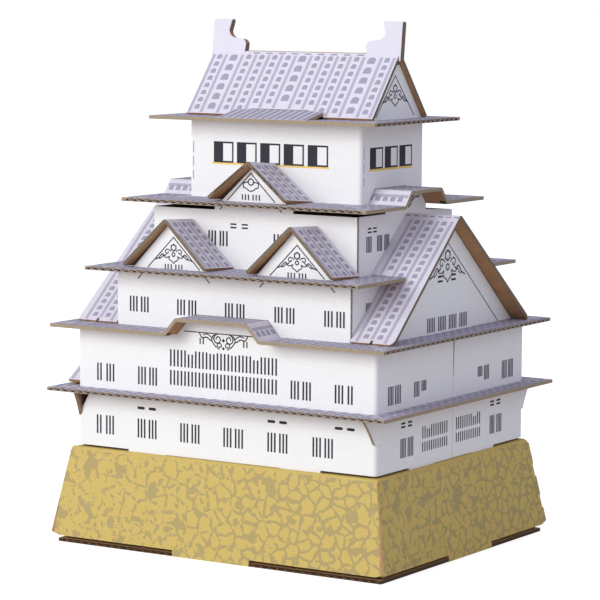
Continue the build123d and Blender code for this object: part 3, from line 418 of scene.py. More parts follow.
def flutes(node):
    """Builder of the mask of a plate's open flutes, whose insides are painted dark as their shade:
    between the two liners, from just behind the cut edge to 2.5 mm in, and not level."""
    behind, seen, liner = 0.06, 2.5, 0.05
    low, high = corners(node)

    def mask(tree, normal, spot):
        across, along, level = (add(tree, MATH, (part,), operation="ABSOLUTE")
                                for part in (spot[0], spot[1], normal[2]))
        near_side = add(tree, MATH, (across, high[0] - seen), operation="GREATER_THAN")
        near_front = add(tree, MATH, (along, high[1] - seen), operation="GREATER_THAN")
        inside = add(tree, MATH, (near_side, near_front), operation="MAXIMUM")
        for value, test, limit in (
            (across, "LESS_THAN", high[0] - behind), (along, "LESS_THAN", high[1] - behind),
            (spot[2], "GREATER_THAN", low[2] + liner), (spot[2], "LESS_THAN", low[2] + BOARD - liner),
            (level, "LESS_THAN", LEVEL),
        ):
            passed = add(tree, MATH, (value, limit), operation=test)
            inside = add(tree, MATH, (inside, passed), operation="MULTIPLY")
        return inside
    return mask


def roof_colour(tree, normal, spot):
    """Lavender print, darker on the level plates than on the slopes."""
    level = add(tree, MATH, (normal[2], LEVEL), operation="GREATER_THAN")
    return add(tree, MIX, (level, linear(ROOF_GROUND), linear(ROOF_PLATE)))


def stone_colour(tree, normal, spot):
    """Stone print: irregular outlined stones, whole towards the right of each side and broken
    into dashes and specks towards its left, as a stencil that fades, with grey blots between.
    The cells of a Voronoi pattern are bent by noise; a joint is drawn where the nearest cell
    border lies within half its width. The pattern lies flat along each side, and the short sides
    have another part of it than the long ones."""
    all_broken, all_whole = -60.0, 50.0  # places along a side
    break_limit, more_when_whole = 0.53, 0.17
    thin_joint, thick_joint = 0.06, 0.17  # shares of a stone
    other_part = 37.0
    part = add(tree, MATH, (normal[0],), operation="ABSOLUTE")
    sideways = add(tree, MATH, (part, 0.5), operation="GREATER_THAN")
    to_right = add(tree, MATH, (normal[0],), operation="SIGN")
    to_back = add(tree, MATH, (normal[1],), operation="SIGN")
    to_front = add(tree, MATH, (to_back, -1.0), operation="MULTIPLY")
    on_short = add(tree, MATH, (spot[1], to_right), operation="MULTIPLY")
    on_long = add(tree, MATH, (spot[0], to_front), operation="MULTIPLY")
    along = add(tree, "ShaderNodeMix", {"Factor": sideways, "A": on_long, "B": on_short},
                data_type="FLOAT")
    apart = add(tree, MATH, (sideways, other_part), operation="MULTIPLY")
    flat = add(tree, "ShaderNodeCombineXYZ", (along, spot[2], apart))

    broad = add(tree, NOISE, {"Vector": flat, "Scale": 1 / STONE_BEND, "Detail": 2.0})
    fine = add(tree, NOISE, {"Vector": flat, "Scale": 1 / STONE_SPECK, "Detail": 2.0})
    breaks = add(tree, NOISE, {"Vector": flat, "Scale": 1 / STONE_BREAK, "Detail": 3.0,
                               "Roughness": 0.65})
    shift = add(tree, VECTOR, {0: broad.outputs["Color"], "Scale": STONE_SHIFT}, operation="SCALE")
    bent = add(tree, VECTOR, (flat, shift), operation="ADD")
    cells = add(tree, "ShaderNodeTexVoronoi", {"Vector": bent, "Scale": 1 / STONE, "Randomness": 0.95},
                feature="DISTANCE_TO_EDGE", voronoi_dimensions="2D")

    whole = add(tree, RANGE, (along, all_broken, all_whole, 0.0, 1.0))
    lasting = add(tree, MATH, (whole, more_when_whole, breaks), operation="MULTIPLY_ADD")
    kept = add(tree, MATH, (lasting, break_limit), operation="GREATER_THAN")
    width = add(tree, RANGE, (breaks, 0.35, 0.7, thin_joint, thick_joint))
    joint = add(tree, MATH, (cells, width), operation="LESS_THAN")
    drawn = add(tree, MATH, (joint, kept), operation="MULTIPLY")
    for noise, least, fewer_when_whole in ((fine, 0.665, 0.06), (broad, 0.585, 0.03)):
        limit = add(tree, MATH, (whole, fewer_when_whole, least), operation="MULTIPLY_ADD")
        spots = add(tree, MATH, (noise, limit), operation="GREATER_THAN")
        drawn = add(tree, MATH, (drawn, spots), operation="MAXIMUM")
    off_deck = add(tree, MATH, (normal[2], 0.5), operation="LESS_THAN")
    veined = add(tree, MATH, (drawn, off_deck), operation="MULTIPLY")
    return add(tree, MIX, (veined, linear(STONE_YELLOW), linear(STONE_VEIN)))


def triangles(node):
    """Normals, areas and corner points in millimetres of a card sheet's triangles."""
    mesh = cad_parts[node].data
    mesh.calc_loop_triangles()
    count = len(mesh.loop_triangles)
    normals, areas, numbers = np.empty(count * 3), np.empty(count), np.empty(count * 3, dtype=np.int32)
    mesh.loop_triangles.foreach_get("normal", normals)
    mesh.loop_triangles.foreach_get("area", areas)
    mesh.loop_triangles.foreach_get("vertices", numbers)
    points = np.empty(len(mesh.vertices) * 3)
    mesh.vertices.foreach_get("co", points)
    return normals.reshape(-1, 3), areas, (points.reshape(-1, 3) / MM)[numbers.reshape(-1, 3)]


def face(node, toward, along, depth=None):
    """Outermost large flat face of a card sheet that looks one way, in millimetres. Of the large
    triangles whose normals lie near that way the farthest out is sought, and all in its plane.
    Its u axis runs as the given direction does, its v axis is the normal crossed with u, low and
    high are its lowest and highest u and v, and sides are the ends of its triangles' sides. A
    depth along the normal picks one of several such faces."""
    near_way, near_depth, large, same_way, same_depth = 0.85, 0.2, 0.3, 0.9999, 0.1
    normals, areas, points = triangles(node)
    toward = np.array(toward, float) / np.linalg.norm(toward)
    depths = np.einsum("ij,ij->i", normals, points[:, 0])
    wanted = normals @ toward > near_way
    if depth is not None:
        wanted &= np.abs(depths - depth) < near_depth
    wanted &= areas > large * areas[wanted].max()
    best = np.argmax(np.where(wanted, depths, -np.inf))
    n = normals[best] / np.linalg.norm(normals[best])
    same = (normals @ n > same_way) & (np.abs(depths - depths[best]) < same_depth)
    u = np.array(along, float) - n * (n @ np.array(along, float))
    u /= np.linalg.norm(u)
    v = np.cross(n, u)
    flat = points[same] @ np.stack([u, v], 1)
    sides = np.stack([flat, np.roll(flat, -1, axis=1)], 2).reshape(-1, 2, 2)
    return Face(u, v, n, depths[best], flat.min((0, 1)), flat.max((0, 1)), sides)


def reach(sheet, u, half):
    """Lowest and highest v of a face over a strip about u: the sides of its triangles are cut at
    both edges of the strip, and the shorter reach is kept. Off the face both are 0."""
    low, high = -np.inf, np.inf
    first, second = sheet.sides[:, 0], sheet.sides[:, 1]
    gap = second[:, 0] - first[:, 0]
    along_v = np.abs(gap) < 1e-6
    for edge in (u - half, u + half):
        part = (edge - first[:, 0]) / np.where(along_v, 1, gap)
        hit = ~along_v & (part >= 0) & (part <= 1)
        if not hit.any():
            return 0.0, 0.0
        v = (first[:, 1] + part * (second[:, 1] - first[:, 1]))[hit]
        low, high = max(low, v.min()), min(high, v.max())
    return low, high


def place_on(sheet, flat, lift):
    """Points in metres of flat (u, v) points in millimetres, lifted off the face."""
    off_middle = (sheet.depth + lift) * sheet.n
    return (flat[..., :1] * sheet.u + flat[..., 1:] * sheet.v + off_middle) * MM


shapes = {film: [] for film in FILMS}  # points and faces of each film's shapes


class Ink:
    """One ink on a sheet's face. Its closed shapes are gathered for the film's piece. Each call's
    shapes lie a hair over the last one's, so that no two tops share a plane."""

    def __init__(self, film, sheet, lift=None):
        self.film, self.sheet, self.lift = film, sheet, lift or FILMS[film].lift

    def take(self, points, *face_sets):
        """Keeps points and their faces, given as arrays of corner numbers."""
        self.lift += INK_STEP
        rows = [faces.reshape(-1, faces.shape[-1]) for faces in face_sets]
        shapes[self.film].append((points.reshape(-1, 3), rows))

    def stamp(self, outlines):
        """Prisms over n outlines of k (u, v) points each, anticlockwise: two layers of points,
        a top and a bottom polygon, and a quad over each side."""
        outlines = np.asarray(outlines, float)
        n, k = outlines.shape[:2]
        if not n:
            return
        low = place_on(self.sheet, outlines, -INK_SINK)
        high = place_on(self.sheet, outlines, self.lift)
        start = (np.arange(n) * 2 * k)[:, None]
        here = np.arange(k)
        ahead = np.roll(here, -1)
        walls = np.stack([here, ahead, ahead + k, here + k], -1)
        self.take(np.stack([low, high], 1), start + here[::-1], start + k + here,
                  start[:, :, None] + walls)

    def stroke(self, path, width, closed=False):
        """Ribbon of a width along a path of (u, v) points: a flat rectangular section, mitred at
        each point by the sum of the two neighbouring sides' normals, carried along the path."""
        path = np.asarray(path, float)
        steps = np.diff(path, axis=0, append=path[:1]) if closed else np.diff(path, axis=0)
        steps /= np.linalg.norm(steps, axis=1, keepdims=True)
        across = np.stack([-steps[:, 1], steps[:, 0]], 1)
        if closed:
            before, after = np.roll(across, 1, axis=0), across
        else:
            before, after = np.vstack([across[:1], across]), np.vstack([across, across[-1:]])
        mitre = before + after
        mitre /= np.maximum(np.einsum("ij,ij->i", mitre, after), 0.5)[:, None]
        left, right = path + mitre * width / 2, path - mitre * width / 2
        section = np.stack([
            place_on(self.sheet, left, -INK_SINK), place_on(self.sheet, left, self.lift),
            place_on(self.sheet, right, self.lift), place_on(self.sheet, right, -INK_SINK),
        ], 1)
        k = len(path)
        here = np.arange(k if closed else k - 1)[:, None] * 4
        there = (here + 4) % (4 * k)
        corner = np.arange(4)
        ahead = np.roll(corner, -1)
        sides = np.stack([here + corner, here + ahead, there + ahead, there + corner], -1)
        ends = [] if closed else [np.array([[0, 3, 2, 1]]), (k - 1) * 4 + corner[None]]
        self.take(section, sides, *ends)


def inks(node, way, *films, depth=None):
    """An ink of each film on one face of a card sheet."""
    sheet = face(node, *way, depth)
    return [Ink(film, sheet) for film in films]


def plate_inks(node, along, depth):
    """Inks of the strips and of the marks on a level face, both of the plates' film."""
    sheet = face(node, UP, along, depth)
    return Ink(PLATE_TILES, sheet, STRIP_LIFT), Ink(PLATE_TILES, sheet)


def ink_piece(name):
    """Makes one piece of a film's shapes, attached to the root body."""
    points, faces, count = [], [], 0
    for made, face_sets in shapes[name]:
        for rows in face_sets:
            faces += (rows + count).tolist()
        points.append(made)
        count += len(made)
    mesh = bpy.data.meshes.new(name)
    mesh.from_pydata(np.concatenate(points).tolist(), [], faces)
    mesh.materials.append(printing_ink(FILMS[name].ink, FILMS[name].colour))
    piece = bpy.data.objects.new(name, mesh)
    bpy.context.scene.collection.objects.link(piece)
    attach(piece, "root")


def boxes(left, right, low, high):
    """Outlines of rectangles, from arrays or numbers of their sides."""
    left, right, low, high = np.broadcast_arrays(left, right, low, high)
    return np.stack([
        np.stack([left, low], -1), np.stack([right, low], -1),
        np.stack([right, high], -1), np.stack([left, high], -1),
    ], -2).reshape(-1, 4, 2)


def bars(middles, low, high, width=BAR):
    """Outlines of upright window bars."""
    middles = np.asarray(middles, float)
    return boxes(middles - width / 2, middles + width / 2, low, high)


def groups(*firsts):
    """Middles of the bars of printed windows, three and three, from each window's first one."""
    three = np.arange(3) * BAR_STEP
    return (np.array(firsts)[:, None] + np.concatenate([three, BAR_GROUP + three])).ravel()


def pads(middles, height, width, thick):
    """Outlines of dashes with round ends: a half circle at each end, right then left."""
    turn = np.linspace(-math.pi / 2, math.pi / 2, 6)
    arc = np.stack([np.cos(turn), np.sin(turn)], 1) * thick / 2
    shift = np.array([(width - thick) / 2, 0])
    places = np.stack(np.broadcast_arrays(middles, height), -1)
    return places[:, None] + np.concatenate([arc + shift, -arc - shift])


def arches(middles, heights, width, tall):
    """Outlines of tile marks: straight foot and sides under a half ellipse."""
    turn = np.linspace(0, math.pi, 7)
    crown = np.stack([np.cos(turn) * width / 2, tall * (0.12 + 0.38 * np.sin(turn))], 1)
    foot = np.array([(-width / 2, -tall / 2), (width / 2, -tall / 2)])
    places = np.stack(np.broadcast_arrays(middles, heights), -1)
    return places[:, None] + np.concatenate([foot, crown])


def ring(middle, radius, sides, turn=0.0):
    """Corners of a polygon round a middle. With many sides it is a circle."""
    angle = turn + np.linspace(0, 2 * math.pi, sides, endpoint=False)
    return np.array(middle) + radius * np.stack([np.cos(angle), np.sin(angle)], 1)


def smooth(points):
    """Catmull-Rom curve through given points: on each span the cubic whose slope at either
    end is half the way between that end's two neighbours."""
    points = np.asarray(points, float)
    around = np.vstack([2 * points[0] - points[1], points, 2 * points[-1] - points[-2]])
    t = np.linspace(0, 1, CURVE_STEPS, endpoint=False)[None, :, None]
    a, b, c, d = (around[i:len(around) - 3 + i, None] for i in range(4))
    square, cube = 2 * a - 5 * b + 4 * c - d, 3 * b - a - 3 * c + d
    curve = 0.5 * (2 * b + (c - a) * t + square * t ** 2 + cube * t ** 3)
    return np.vstack([curve.reshape(-1, 2), points[-1:]])


def spiral(middle, radius, start, turns):
    """Curl that winds in to its middle: the radius shrinks evenly with the angle to a third."""
    part = np.linspace(0, 1, CURL_STEPS)
    angle = start + turns * 2 * math.pi * part
    shrinking = radius * (1 - 0.68 * part)
    return np.array(middle) + np.stack([shrinking * np.cos(angle), shrinking * np.sin(angle)], 1)


def both_ways(ink, path, middle, width):
    """Strokes a path right of the middle and its mirror image."""
    ink.stroke(path, width)
    ink.stroke(np.asarray(path) * (-1, 1) + (2 * middle, 0), width)


def crest(ink, middle, height, size, long=1.0):
    """Gable ornament of plain traditional shapes about its ring's middle: a six-sided ring, a
    small round one below it, and on each side a curl, two waving lines and half of a pendant.
    size scales it and long stretches it downwards."""
    thick = size ** 0.5
    ink.stroke(ring((middle, height), 1.75 * size, 6, math.pi / 6), 0.6 * thick, closed=True)
    ink.stroke(ring((middle, height - 4.0 * size * long), 1.0 * size, 12), 0.5 * thick, closed=True)
    curl = [(1.6, -2.3), (3.0, -1.3), (4.5, -1.2), (5.2, -2.4), (4.4, -3.5), (3.4, -3.2), (3.6, -2.4)]
    upper_wave = [(4.6, -3.9), (5.7, -4.9), (7.0, -4.0), (8.2, -4.8), (9.3, -6.2), (11.8, -7.4)]
    lower_wave = [(2.4, -5.0), (3.6, -5.7), (5.2, -5.9), (6.7, -5.0), (7.8, -6.2), (9.4, -7.0)]
    pendant = [(2.4, -5.0), (3.0, -6.6), (1.9, -7.6), (0.9, -8.2), (0.0, -9.3)]
    for points, width in ((curl, 0.46), (upper_wave, 0.5), (lower_wave, 0.4), (pendant, 0.46)):
        path = (middle, height) + smooth(points) * (size, size * long)
        both_ways(ink, path, middle, max(width * thick, LEAST_LINE))


def scroll_print(ink, middle, top, size=1.0):
    """Ornament below a raised middle's line: two waving lines that hang from it, paired curls
    between them, and a small pendant."""
    at = np.array((middle, top))
    wing = smooth([(9.8, 0), (8.6, -1.7), (6.8, -1.5), (5.4, -2.3), (4.3, -2.7)])
    body = smooth([(2.3, -0.2), (4.2, -0.9), (4.6, -2.5), (3.2, -4.3), (2.7, -4.6)])
    inner_wing = wing[CURVE_STEPS:] + (-0.3, 1.1)
    for line, width in (
        (wing, 0.44), (inner_wing, 0.36), (spiral((2.3, -1.9), 1.75, math.pi / 2, -1.3), 0.44),
        (spiral((1.5, -4.0), 1.2, -math.pi / 2, 1.2), 0.4), (body, 0.4),
    ):
        both_ways(ink, line * size + at, middle, width)
    ink.stamp([ring(at + (0, -2.2 * size), 0.7, 4), ring(at + (0, -4.9 * size), 0.6, 4)])


def gable_print(ink, middle, apex, half, foot, ring_height, size, long=1.0):
    """Print of a gable: a line below each slope, and the crest in the peak."""
    ink.stroke([(middle - half[0], foot), (middle, apex), (middle + half[1], foot)], LINE)
    crest(ink, middle, ring_height, size, long)


def shaded_window(ink, shade, left, right, low, high, count=4):
    """Barred window in the shade: a grey pane under its dark bars."""
    shade.stamp(boxes(left, right, low, high))
    middles = np.linspace(left + SHADED_INSET, right - SHADED_INSET, count)
    ink.stamp(bars(middles, low, high, SHADED_BAR))


def lower_front_print(ink):
    """Windows and dashes of the two lower storeys' long side, and below the raised middle a
    lattice in two rows, a line and an ornament."""
    ink.stamp(bars(np.concatenate([
        groups(-34.4, -16.8, 0.7, 18.2, 35.8), [-51.6, -50.25, -47.7, -46.35, -45.0],
    ]), *FIRST_ROW))
    ink.stamp(pads([-33.3, -28.6, 19.4, 24.0, 45.5, 50.1], 48.4, 3.1, 0.95))
    ink.stamp(bars(np.concatenate([
        [-51.4, -50.1, -47.5, -46.2, -44.8], groups(-34.2, 27.2), [44.2, 45.5, 46.8, 49.1, 50.4],
    ]), *SECOND_ROW))
    count = 30
    lattice = -21.0 + LATTICE_STEP * np.arange(count)
    ink.stamp(bars(lattice, 57.4, 62.4))
    high = np.full(count, 69.4)
    high[[5, 6, 23, 24]] = 68.2
    high[[11, 12, 17, 18]] = 69.0
    ink.stamp(bars(lattice, 63.7, high))
    ink.stamp(bars([-9.05, -7.8, 8.4, 9.65], 72.0, 74.1, SMALL_BAR))
    ink.stroke([(-15.6, 75.95), (15.6, 75.95)], FINE_LINE)
    scroll_print(ink, 0.3, 76.0)


def lower_side_print(ink, shade, sign):
    """Windows, dashes and lattices of one half of the two lower storeys' short side: sign picks
    left or right of the middle, as each half is a sheet of its own."""
    panes = np.array([
        (-34.5, -31.0, 37.7, 44.1), (-29.8, -26.2, 37.7, 44.1), (25.8, 29.2, 37.9, 44.3),
        (30.6, 34.2, 37.9, 44.3), (-42.7, -39.2, 56.0, 62.2), (-38.2, -34.5, 56.0, 62.2),
        (-26.0, -22.5, 56.9, 62.0), (-21.2, -18.0, 58.4, 61.9), (16.9, 20.2, 58.8, 62.3),
        (21.4, 24.8, 57.3, 62.3), (34.0, 37.6, 56.2, 62.5), (38.6, 42.0, 56.2, 62.5),
    ])
    for pane in panes[panes[:, 0] * sign > 0]:
        shaded_window(ink, shade, *pane)
    dashes, start, foot, short = (
        ([-32.8, -28.4], -19.95, 42.4, [2, 3]) if sign < 0 else ([27.4, 31.9], 2.6, 42.6, [8, 9])
    )
    for height in (49.1, 47.9):
        ink.stamp(pads(dashes, height, 2.7, 0.65))
    count = 12
    lattice = start + LATTICE_STEP * np.arange(count)
    high = np.full(count, foot + 4.1)
    high[short] -= 1.1
    ink.stamp(bars(lattice, foot, high, LATTICE_BAR))
    ink.stamp(bars(lattice, foot - 4.4, foot - 1.2, LATTICE_BAR))


def seam_shadow(ink):
    """Painted shadow in the seam between the two lower sheets, where it opens towards the top."""
    seam = ink.sheet.low[0]
    low, high = 61.0, 74.3
    ink.stamp([[(seam + 0.05, low), (seam + 0.14, low), (seam + 0.62, high), (seam + 0.05, high)]])


def third_row(ink):
    """Windows of the third storey's long side."""
    ink.stamp(bars(groups(-41.2, -21.6, -2.2, 17.5, 36.9), *THIRD_ROW))


def third_front_print(ink):
    """Windows of the third storey's front, and the print in its two gables."""
    third_row(ink)
    foot, corner = 96.0, 91.9
    for middle in (-23.4, 25.9):
        gable_print(ink, middle, 106.6, (10.6, 10.7), foot, 103.1, 0.64, 0.9)
        ink.stroke([(middle - 14.6, corner), (middle - 12.2, corner + 2.5)], LINE)
        ink.stroke([(middle + 14.7, corner), (middle + 12.3, corner + 2.5)], LINE)
        ink.stamp(bars(middle + np.array([-3.4, -2.2, -0.95, 0.95, 2.2, 3.4]), 95.6, 97.5, SMALL_BAR))


def fourth_front_print(ink):
    """Windows of the fourth storey's front, and the print in its middle gable."""
    middles = [-18.0, -16.75, -15.5, -13.4, -12.2, -10.75, 8.4, 9.85, 11.1, 13.2, 14.45, 15.7]
    ink.stamp(bars(middles, *FOURTH_ROW))
    for height in (110.9, 109.75):
        ink.stamp(pads([-8.1, -3.5], height, 2.6, 0.55))
    middle = -1.1
    ink.stroke([(-10.6, 118.9), (middle, 128.3), (8.6, 118.9)], LINE)
    ink.stroke([(-13.6, 115.7), (-12.3, 117.0)], LINE)
    ink.stroke([(11.3, 115.7), (10.0, 117.0)], LINE)
    ink.stroke(ring((middle, 125.4), 1.15, 6, math.pi / 6), 0.42, closed=True)
    both_ways(ink, [(0.0, 125.4), (1.9, 125.1), (1.9, 123.5)], middle, 0.4)
    both_ways(ink, smooth([(1.9, 123.5), (0.9, 123.3), (0.1, 122.7), (middle, 122.2)]), middle, 0.4)
    ink.stamp(bars([-4.5, -3.25, -2.05, -0.2, 1.05, 2.3], 119.3, 121.2, SMALL_BAR))


def fourth_side_print(ink, shade):
    """Windows and dashes of the fourth storey's short side, and the ornament at its top."""
    for left, right in ((-25.6, -22.2), (-18.7, -15.4), (-14.0, -10.8), (10.8, 14.0), (15.4, 18.7),
                        (22.2, 25.6)):
        shaded_window(ink, shade, left, right, *FOURTH_SIDE_ROW)
    for middle in (-23.5, -20.1, 20.1, 23.5):
        for height in (111.3, 110.1):
            ink.stamp(pads([middle], height, 2.4, 0.55))
    scroll_print(ink, 0.0, 121.7, 0.95)


def fifth_print(ink, glow, lefts, width, low, line):
    """Slits along the fifth storey's corner crease, painted dark as the shade inside them, and its
    framed windows, each open by half: a dark half beside the bare white one, and a soft yellow
    line below them all."""
    # painted shade: three dark slits along the crease
    crease = ink.sheet.low[0] + 0.08
    ink.stamp(boxes(crease, crease + 0.22, [124.5, 129.0, 133.6], [127.6, 132.4, 137.4]))
    high, inside = low + 6.6, FRAME_LINE / 2
    for left in lefts:
        right = left + width
        ink.stroke([(left, low), (right, low), (right, high), (left, high)], FRAME_LINE, closed=True)
        ink.stamp(boxes(left + inside, left + width * 0.47, low + inside, high - inside))
    glow.stamp(boxes(lefts[0] - 1.0, lefts[-1] + width + 0.7, line, line + 0.75))


def big_gable_print(ink, shade, middle):
    """Print of a large gable: lines below its slopes, its crest, dashes and four windows."""
    ink.stroke([(middle - 35.6, 75.9), (middle, 105.7), (middle + 35.6, 75.9)], FINE_LINE)
    crest(ink, middle, 101.5, 1.0, 0.98)
    for height in (94.7, 93.1):
        ink.stamp(pads([middle - 4.9, middle + 4.0], height, 3.4, 0.7))
    for left in (-13.4, -6.0, 1.2, 8.4):
        shaded_window(ink, shade, middle + left, middle + left + 5.1, *BIG_GABLE_ROW, 5)


def tile_columns(strips, marks, edges, top=0.5, stop=np.inf):
    """Printed tiles of a roof face: strips at the given u divide it into columns, and in each
    column arched marks stand one over the other from the top down. The face's own outline ends
    them, with a plain margin at its top and its foot, or they end at a wall's v."""
    foot = 0.4

    def room(middle, width):
        """Lowest and highest v of a print of that width."""
        low, high = reach(strips.sheet, middle, width / 2)
        return low + foot, min(high - top, stop)

    for edge in edges:
        low, high = room(edge, STRIP)
        if high - low > SHORTEST_STRIP:
            strips.stamp(boxes(edge - STRIP / 2, edge + STRIP / 2, low, high))
    for left, right in zip(edges, edges[1:]):
        width, tall, pitch = MARK, MARK, MARK_PITCH
        if right - left > WIDE_COLUMN:
            width, tall, pitch = WIDE_MARK, WIDE_MARK_TALL, WIDE_PITCH
        middle = (left + right) / 2
        low, high = room(middle, width)
        heights = np.arange(high - tall / 2, low + tall / 2, -pitch)
        marks.stamp(arches(middle, heights, width, tall))


def plate_tiles(strips, marks, span, depth, wall, gap):
    """Tiles on one side of a level plate. Its columns run out from the wall to the eave and end
    at the slanting lines between the corners: at u the highest v is the lower of the wall's and
    the eave's raised by the distance from the corner. A gap is half the width without a print
    in the middle."""
    edges = np.arange(PLATE_MARGIN - span, span - 1, PLATE_PITCH)
    edges += (2 * (span - PLATE_MARGIN)) % PLATE_PITCH / 2
    middles = edges[:-1] + PLATE_PITCH / 2
    for middle, width in [(e, STRIP) for e in edges] + [(m, MARK) for m in middles]:
        if gap and abs(middle) < gap + width:
            continue
        low = PLATE_RIM - depth
        high = min(-wall, span - abs(middle) - width / 2 - depth) - CORNER_ROOM
        if width == MARK:
            heights = np.arange(low + MARK / 2, high - MARK / 2, MARK_PITCH)
            marks.stamp(arches(middle, heights, MARK, MARK))
        elif high - low > SHORTEST_PLATE_STRIP:
            strips.stamp(boxes(middle - width / 2, middle + width / 2, low, high))


camera()
studio()

# Card sheets
roof_card = board("lavender_printed_card", roof_colour, up_side, upright)
top_card = board("lavender_printed_card_top_roof", ROOF_GROUND, top_side, upright)
wall_card = board("white_printed_card_folded", WHITE_PRINT, outer_side, all_bare, WALL_EDGE)
front_card = board("white_printed_card_front", WHITE_PRINT, front_side, all_bare, WALL_EDGE)
back_card = board("white_printed_card_back", WHITE_PRINT, back_side, all_bare, WALL_EDGE)
side_card = board("white_printed_card_sides", WHITE_PRINT, left_right_side, all_bare, WALL_EDGE)
stone_card = board("stone_printed_card", stone_colour, stone_side)
# the floor plate's cut edges carry painted shade from the base above them
plain_card = board("plain_kraft_card", WHITE_PRINT, no_side, upright, FLOOR_EDGE_AND_SHADE)

PLATES = ("first_roof", "second_roof", "third_roof", "fourth_roof", "fifth_roof")
FINISH = {
    "floor_plate": plain_card, "stone_base": stone_card, "top_roof": top_card,
    "lower_front_wall": wall_card, "lower_back_wall": wall_card, "fifth_wall": wall_card,
    "third_front_wall": front_card, "fourth_front_wall": front_card,
    "third_back_wall": back_card, "fourth_back_wall": back_card,
    "third_left_wall": side_card, "third_right_wall": side_card,
    "fourth_left_wall": side_card, "fourth_right_wall": side_card,
    "left_big_gable_face": side_card, "right_big_gable_face": side_card,
    "left_small_gable_face": side_card,
    "top_left_gable_face": side_card, "top_right_gable_face": side_card,
}
# the plates' finish paints shade into their open flutes
for node in PLATES:
    FINISH[node] = board("lavender_printed_card_" + node, roof_colour, up_side, upright, PLATE_EDGE,
                         flutes(node))
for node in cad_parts:
    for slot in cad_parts[node].material_slots:
        slot.material = FINISH.get(node, roof_card)

# Prints of the walls
lower_front_print(*inks("lower_front_wall", FRONT, BARS))
lower_front_print(*inks("lower_back_wall", BACK, BARS))
for node, way, sign in (("lower_front_wall", RIGHT, -1), ("lower_back_wall", RIGHT, 1),
                        ("lower_front_wall", LEFT, 1), ("lower_back_wall", LEFT, -1)):
    lower_side_print(*inks(node, way, BARS, PANES), sign)
# painted shadow in the seams between the two lower sheets, in the bars' dark ink
seam_shadow(*inks("lower_back_wall", RIGHT, BARS))
seam_shadow(*inks("lower_front_wall", LEFT, BARS))

third_front_print(*inks("third_front_wall", FRONT, BARS))
third_row(*inks("third_back_wall", BACK, BARS))
for node, way in (("third_right_wall", RIGHT), ("third_left_wall", LEFT)):
    bar_ink, pane_ink = inks(node, way, BARS, PANES)
    shaded_window(bar_ink, pane_ink, -35.2, -31.7, 81.0, 87.9)
    shaded_window(bar_ink, pane_ink, 31.7, 35.2, 81.0, 87.9)

fourth_front_print(*inks("fourth_front_wall", FRONT, BARS))
inks("fourth_back_wall", BACK, BARS)[0].stamp(bars(groups(-18.0, 8.4), *FOURTH_ROW))
fourth_side_print(*inks("fourth_right_wall", RIGHT, BARS, PANES))
fourth_side_print(*inks("fourth_left_wall", LEFT, BARS, PANES))

# Windows of the fifth storey's long and short sides: their left edges, width and foot, and the
# foot of the yellow line below them
LONG_SIDE = (-24.3, -14.8, -5.3, 4.2, 13.8), 7.5, 130.9, 130.0
SHORT_SIDE = (-13.3, -3.6, 6.0), 7.8, 130.4, 129.4
for way, windows in ((FRONT, LONG_SIDE), (BACK, LONG_SIDE), (RIGHT, SHORT_SIDE), (LEFT, SHORT_SIDE)):
    fifth_print(*inks("fifth_wall", way, BARS, LINES), *windows)

for node, way, middle in (("right_big_gable_face", RIGHT, 0.8), ("left_big_gable_face", LEFT, -0.8)):
    big_gable_print(*inks(node, way, BARS, PANES), middle)
for node, way, middle in (("top_right_gable_face", RIGHT, 0.6), ("top_left_gable_face", LEFT, -0.6)):
    gable_print(*inks(node, way, BARS), middle, 161.0, (12.6, 12.6), 147.3, 156.7, 0.72, 0.9)
bar_ink, = inks("left_small_gable_face", LEFT, BARS)
(left, _), (right, crown) = bar_ink.sheet.low, bar_ink.sheet.high
gable_print(bar_ink, (left + right) / 2, crown - 3.5, (11.5, 11.5), crown - 15.0, crown - 7.5, 0.68)

# Printed tiles of the top roof, between strips at these places, with dashes along its ridge
TOP_EDGES = (-36.7, -31.7, -24.9, -19.4, -14.0, -8.7, -3.2, 3.2, 8.6, 13.8, 19.0, 24.3, 31.2, 36.2)
for way, sign in ((FRONT_SLOPE, 1), (BACK_SLOPE, -1)):
    strip_ink, mark_ink, dash_ink = inks("top_roof", way, STRIPS, MARKS, DASHES)
    tile_columns(strip_ink, mark_ink, sorted(sign * edge for edge in TOP_EDGES), top=1.0)
    middles, ridge = np.arange(-19.5, 25, 5.25), dash_ink.sheet.high[1]
    dash_ink.stamp(boxes(middles - 1.3, middles + 1.3, ridge - 0.55, ridge - 0.1))

# The large gables' tiles and dashes
BIG_EDGES = (39.1, 44.1, 49.2, 54.4, 59.8)
for node, side in (("right_big_gable_roof", 1), ("left_big_gable_roof", -1)):
    for way, sign in ((FRONT_SLOPE, side), (BACK_SLOPE, -side)):
        strip_ink, mark_ink, dash_ink = inks(node, way, STRIPS, MARKS, DASHES)
        tile_columns(strip_ink, mark_ink, sorted(sign * edge for edge in BIG_EDGES), top=2.4)
        middles, height = sign * np.arange(42.0, 62.0, 3.1), dash_ink.sheet.low[1] + 59.0
        dash_ink.stamp(boxes(middles - 0.9, middles + 0.9, height - 0.25, height + 0.25))

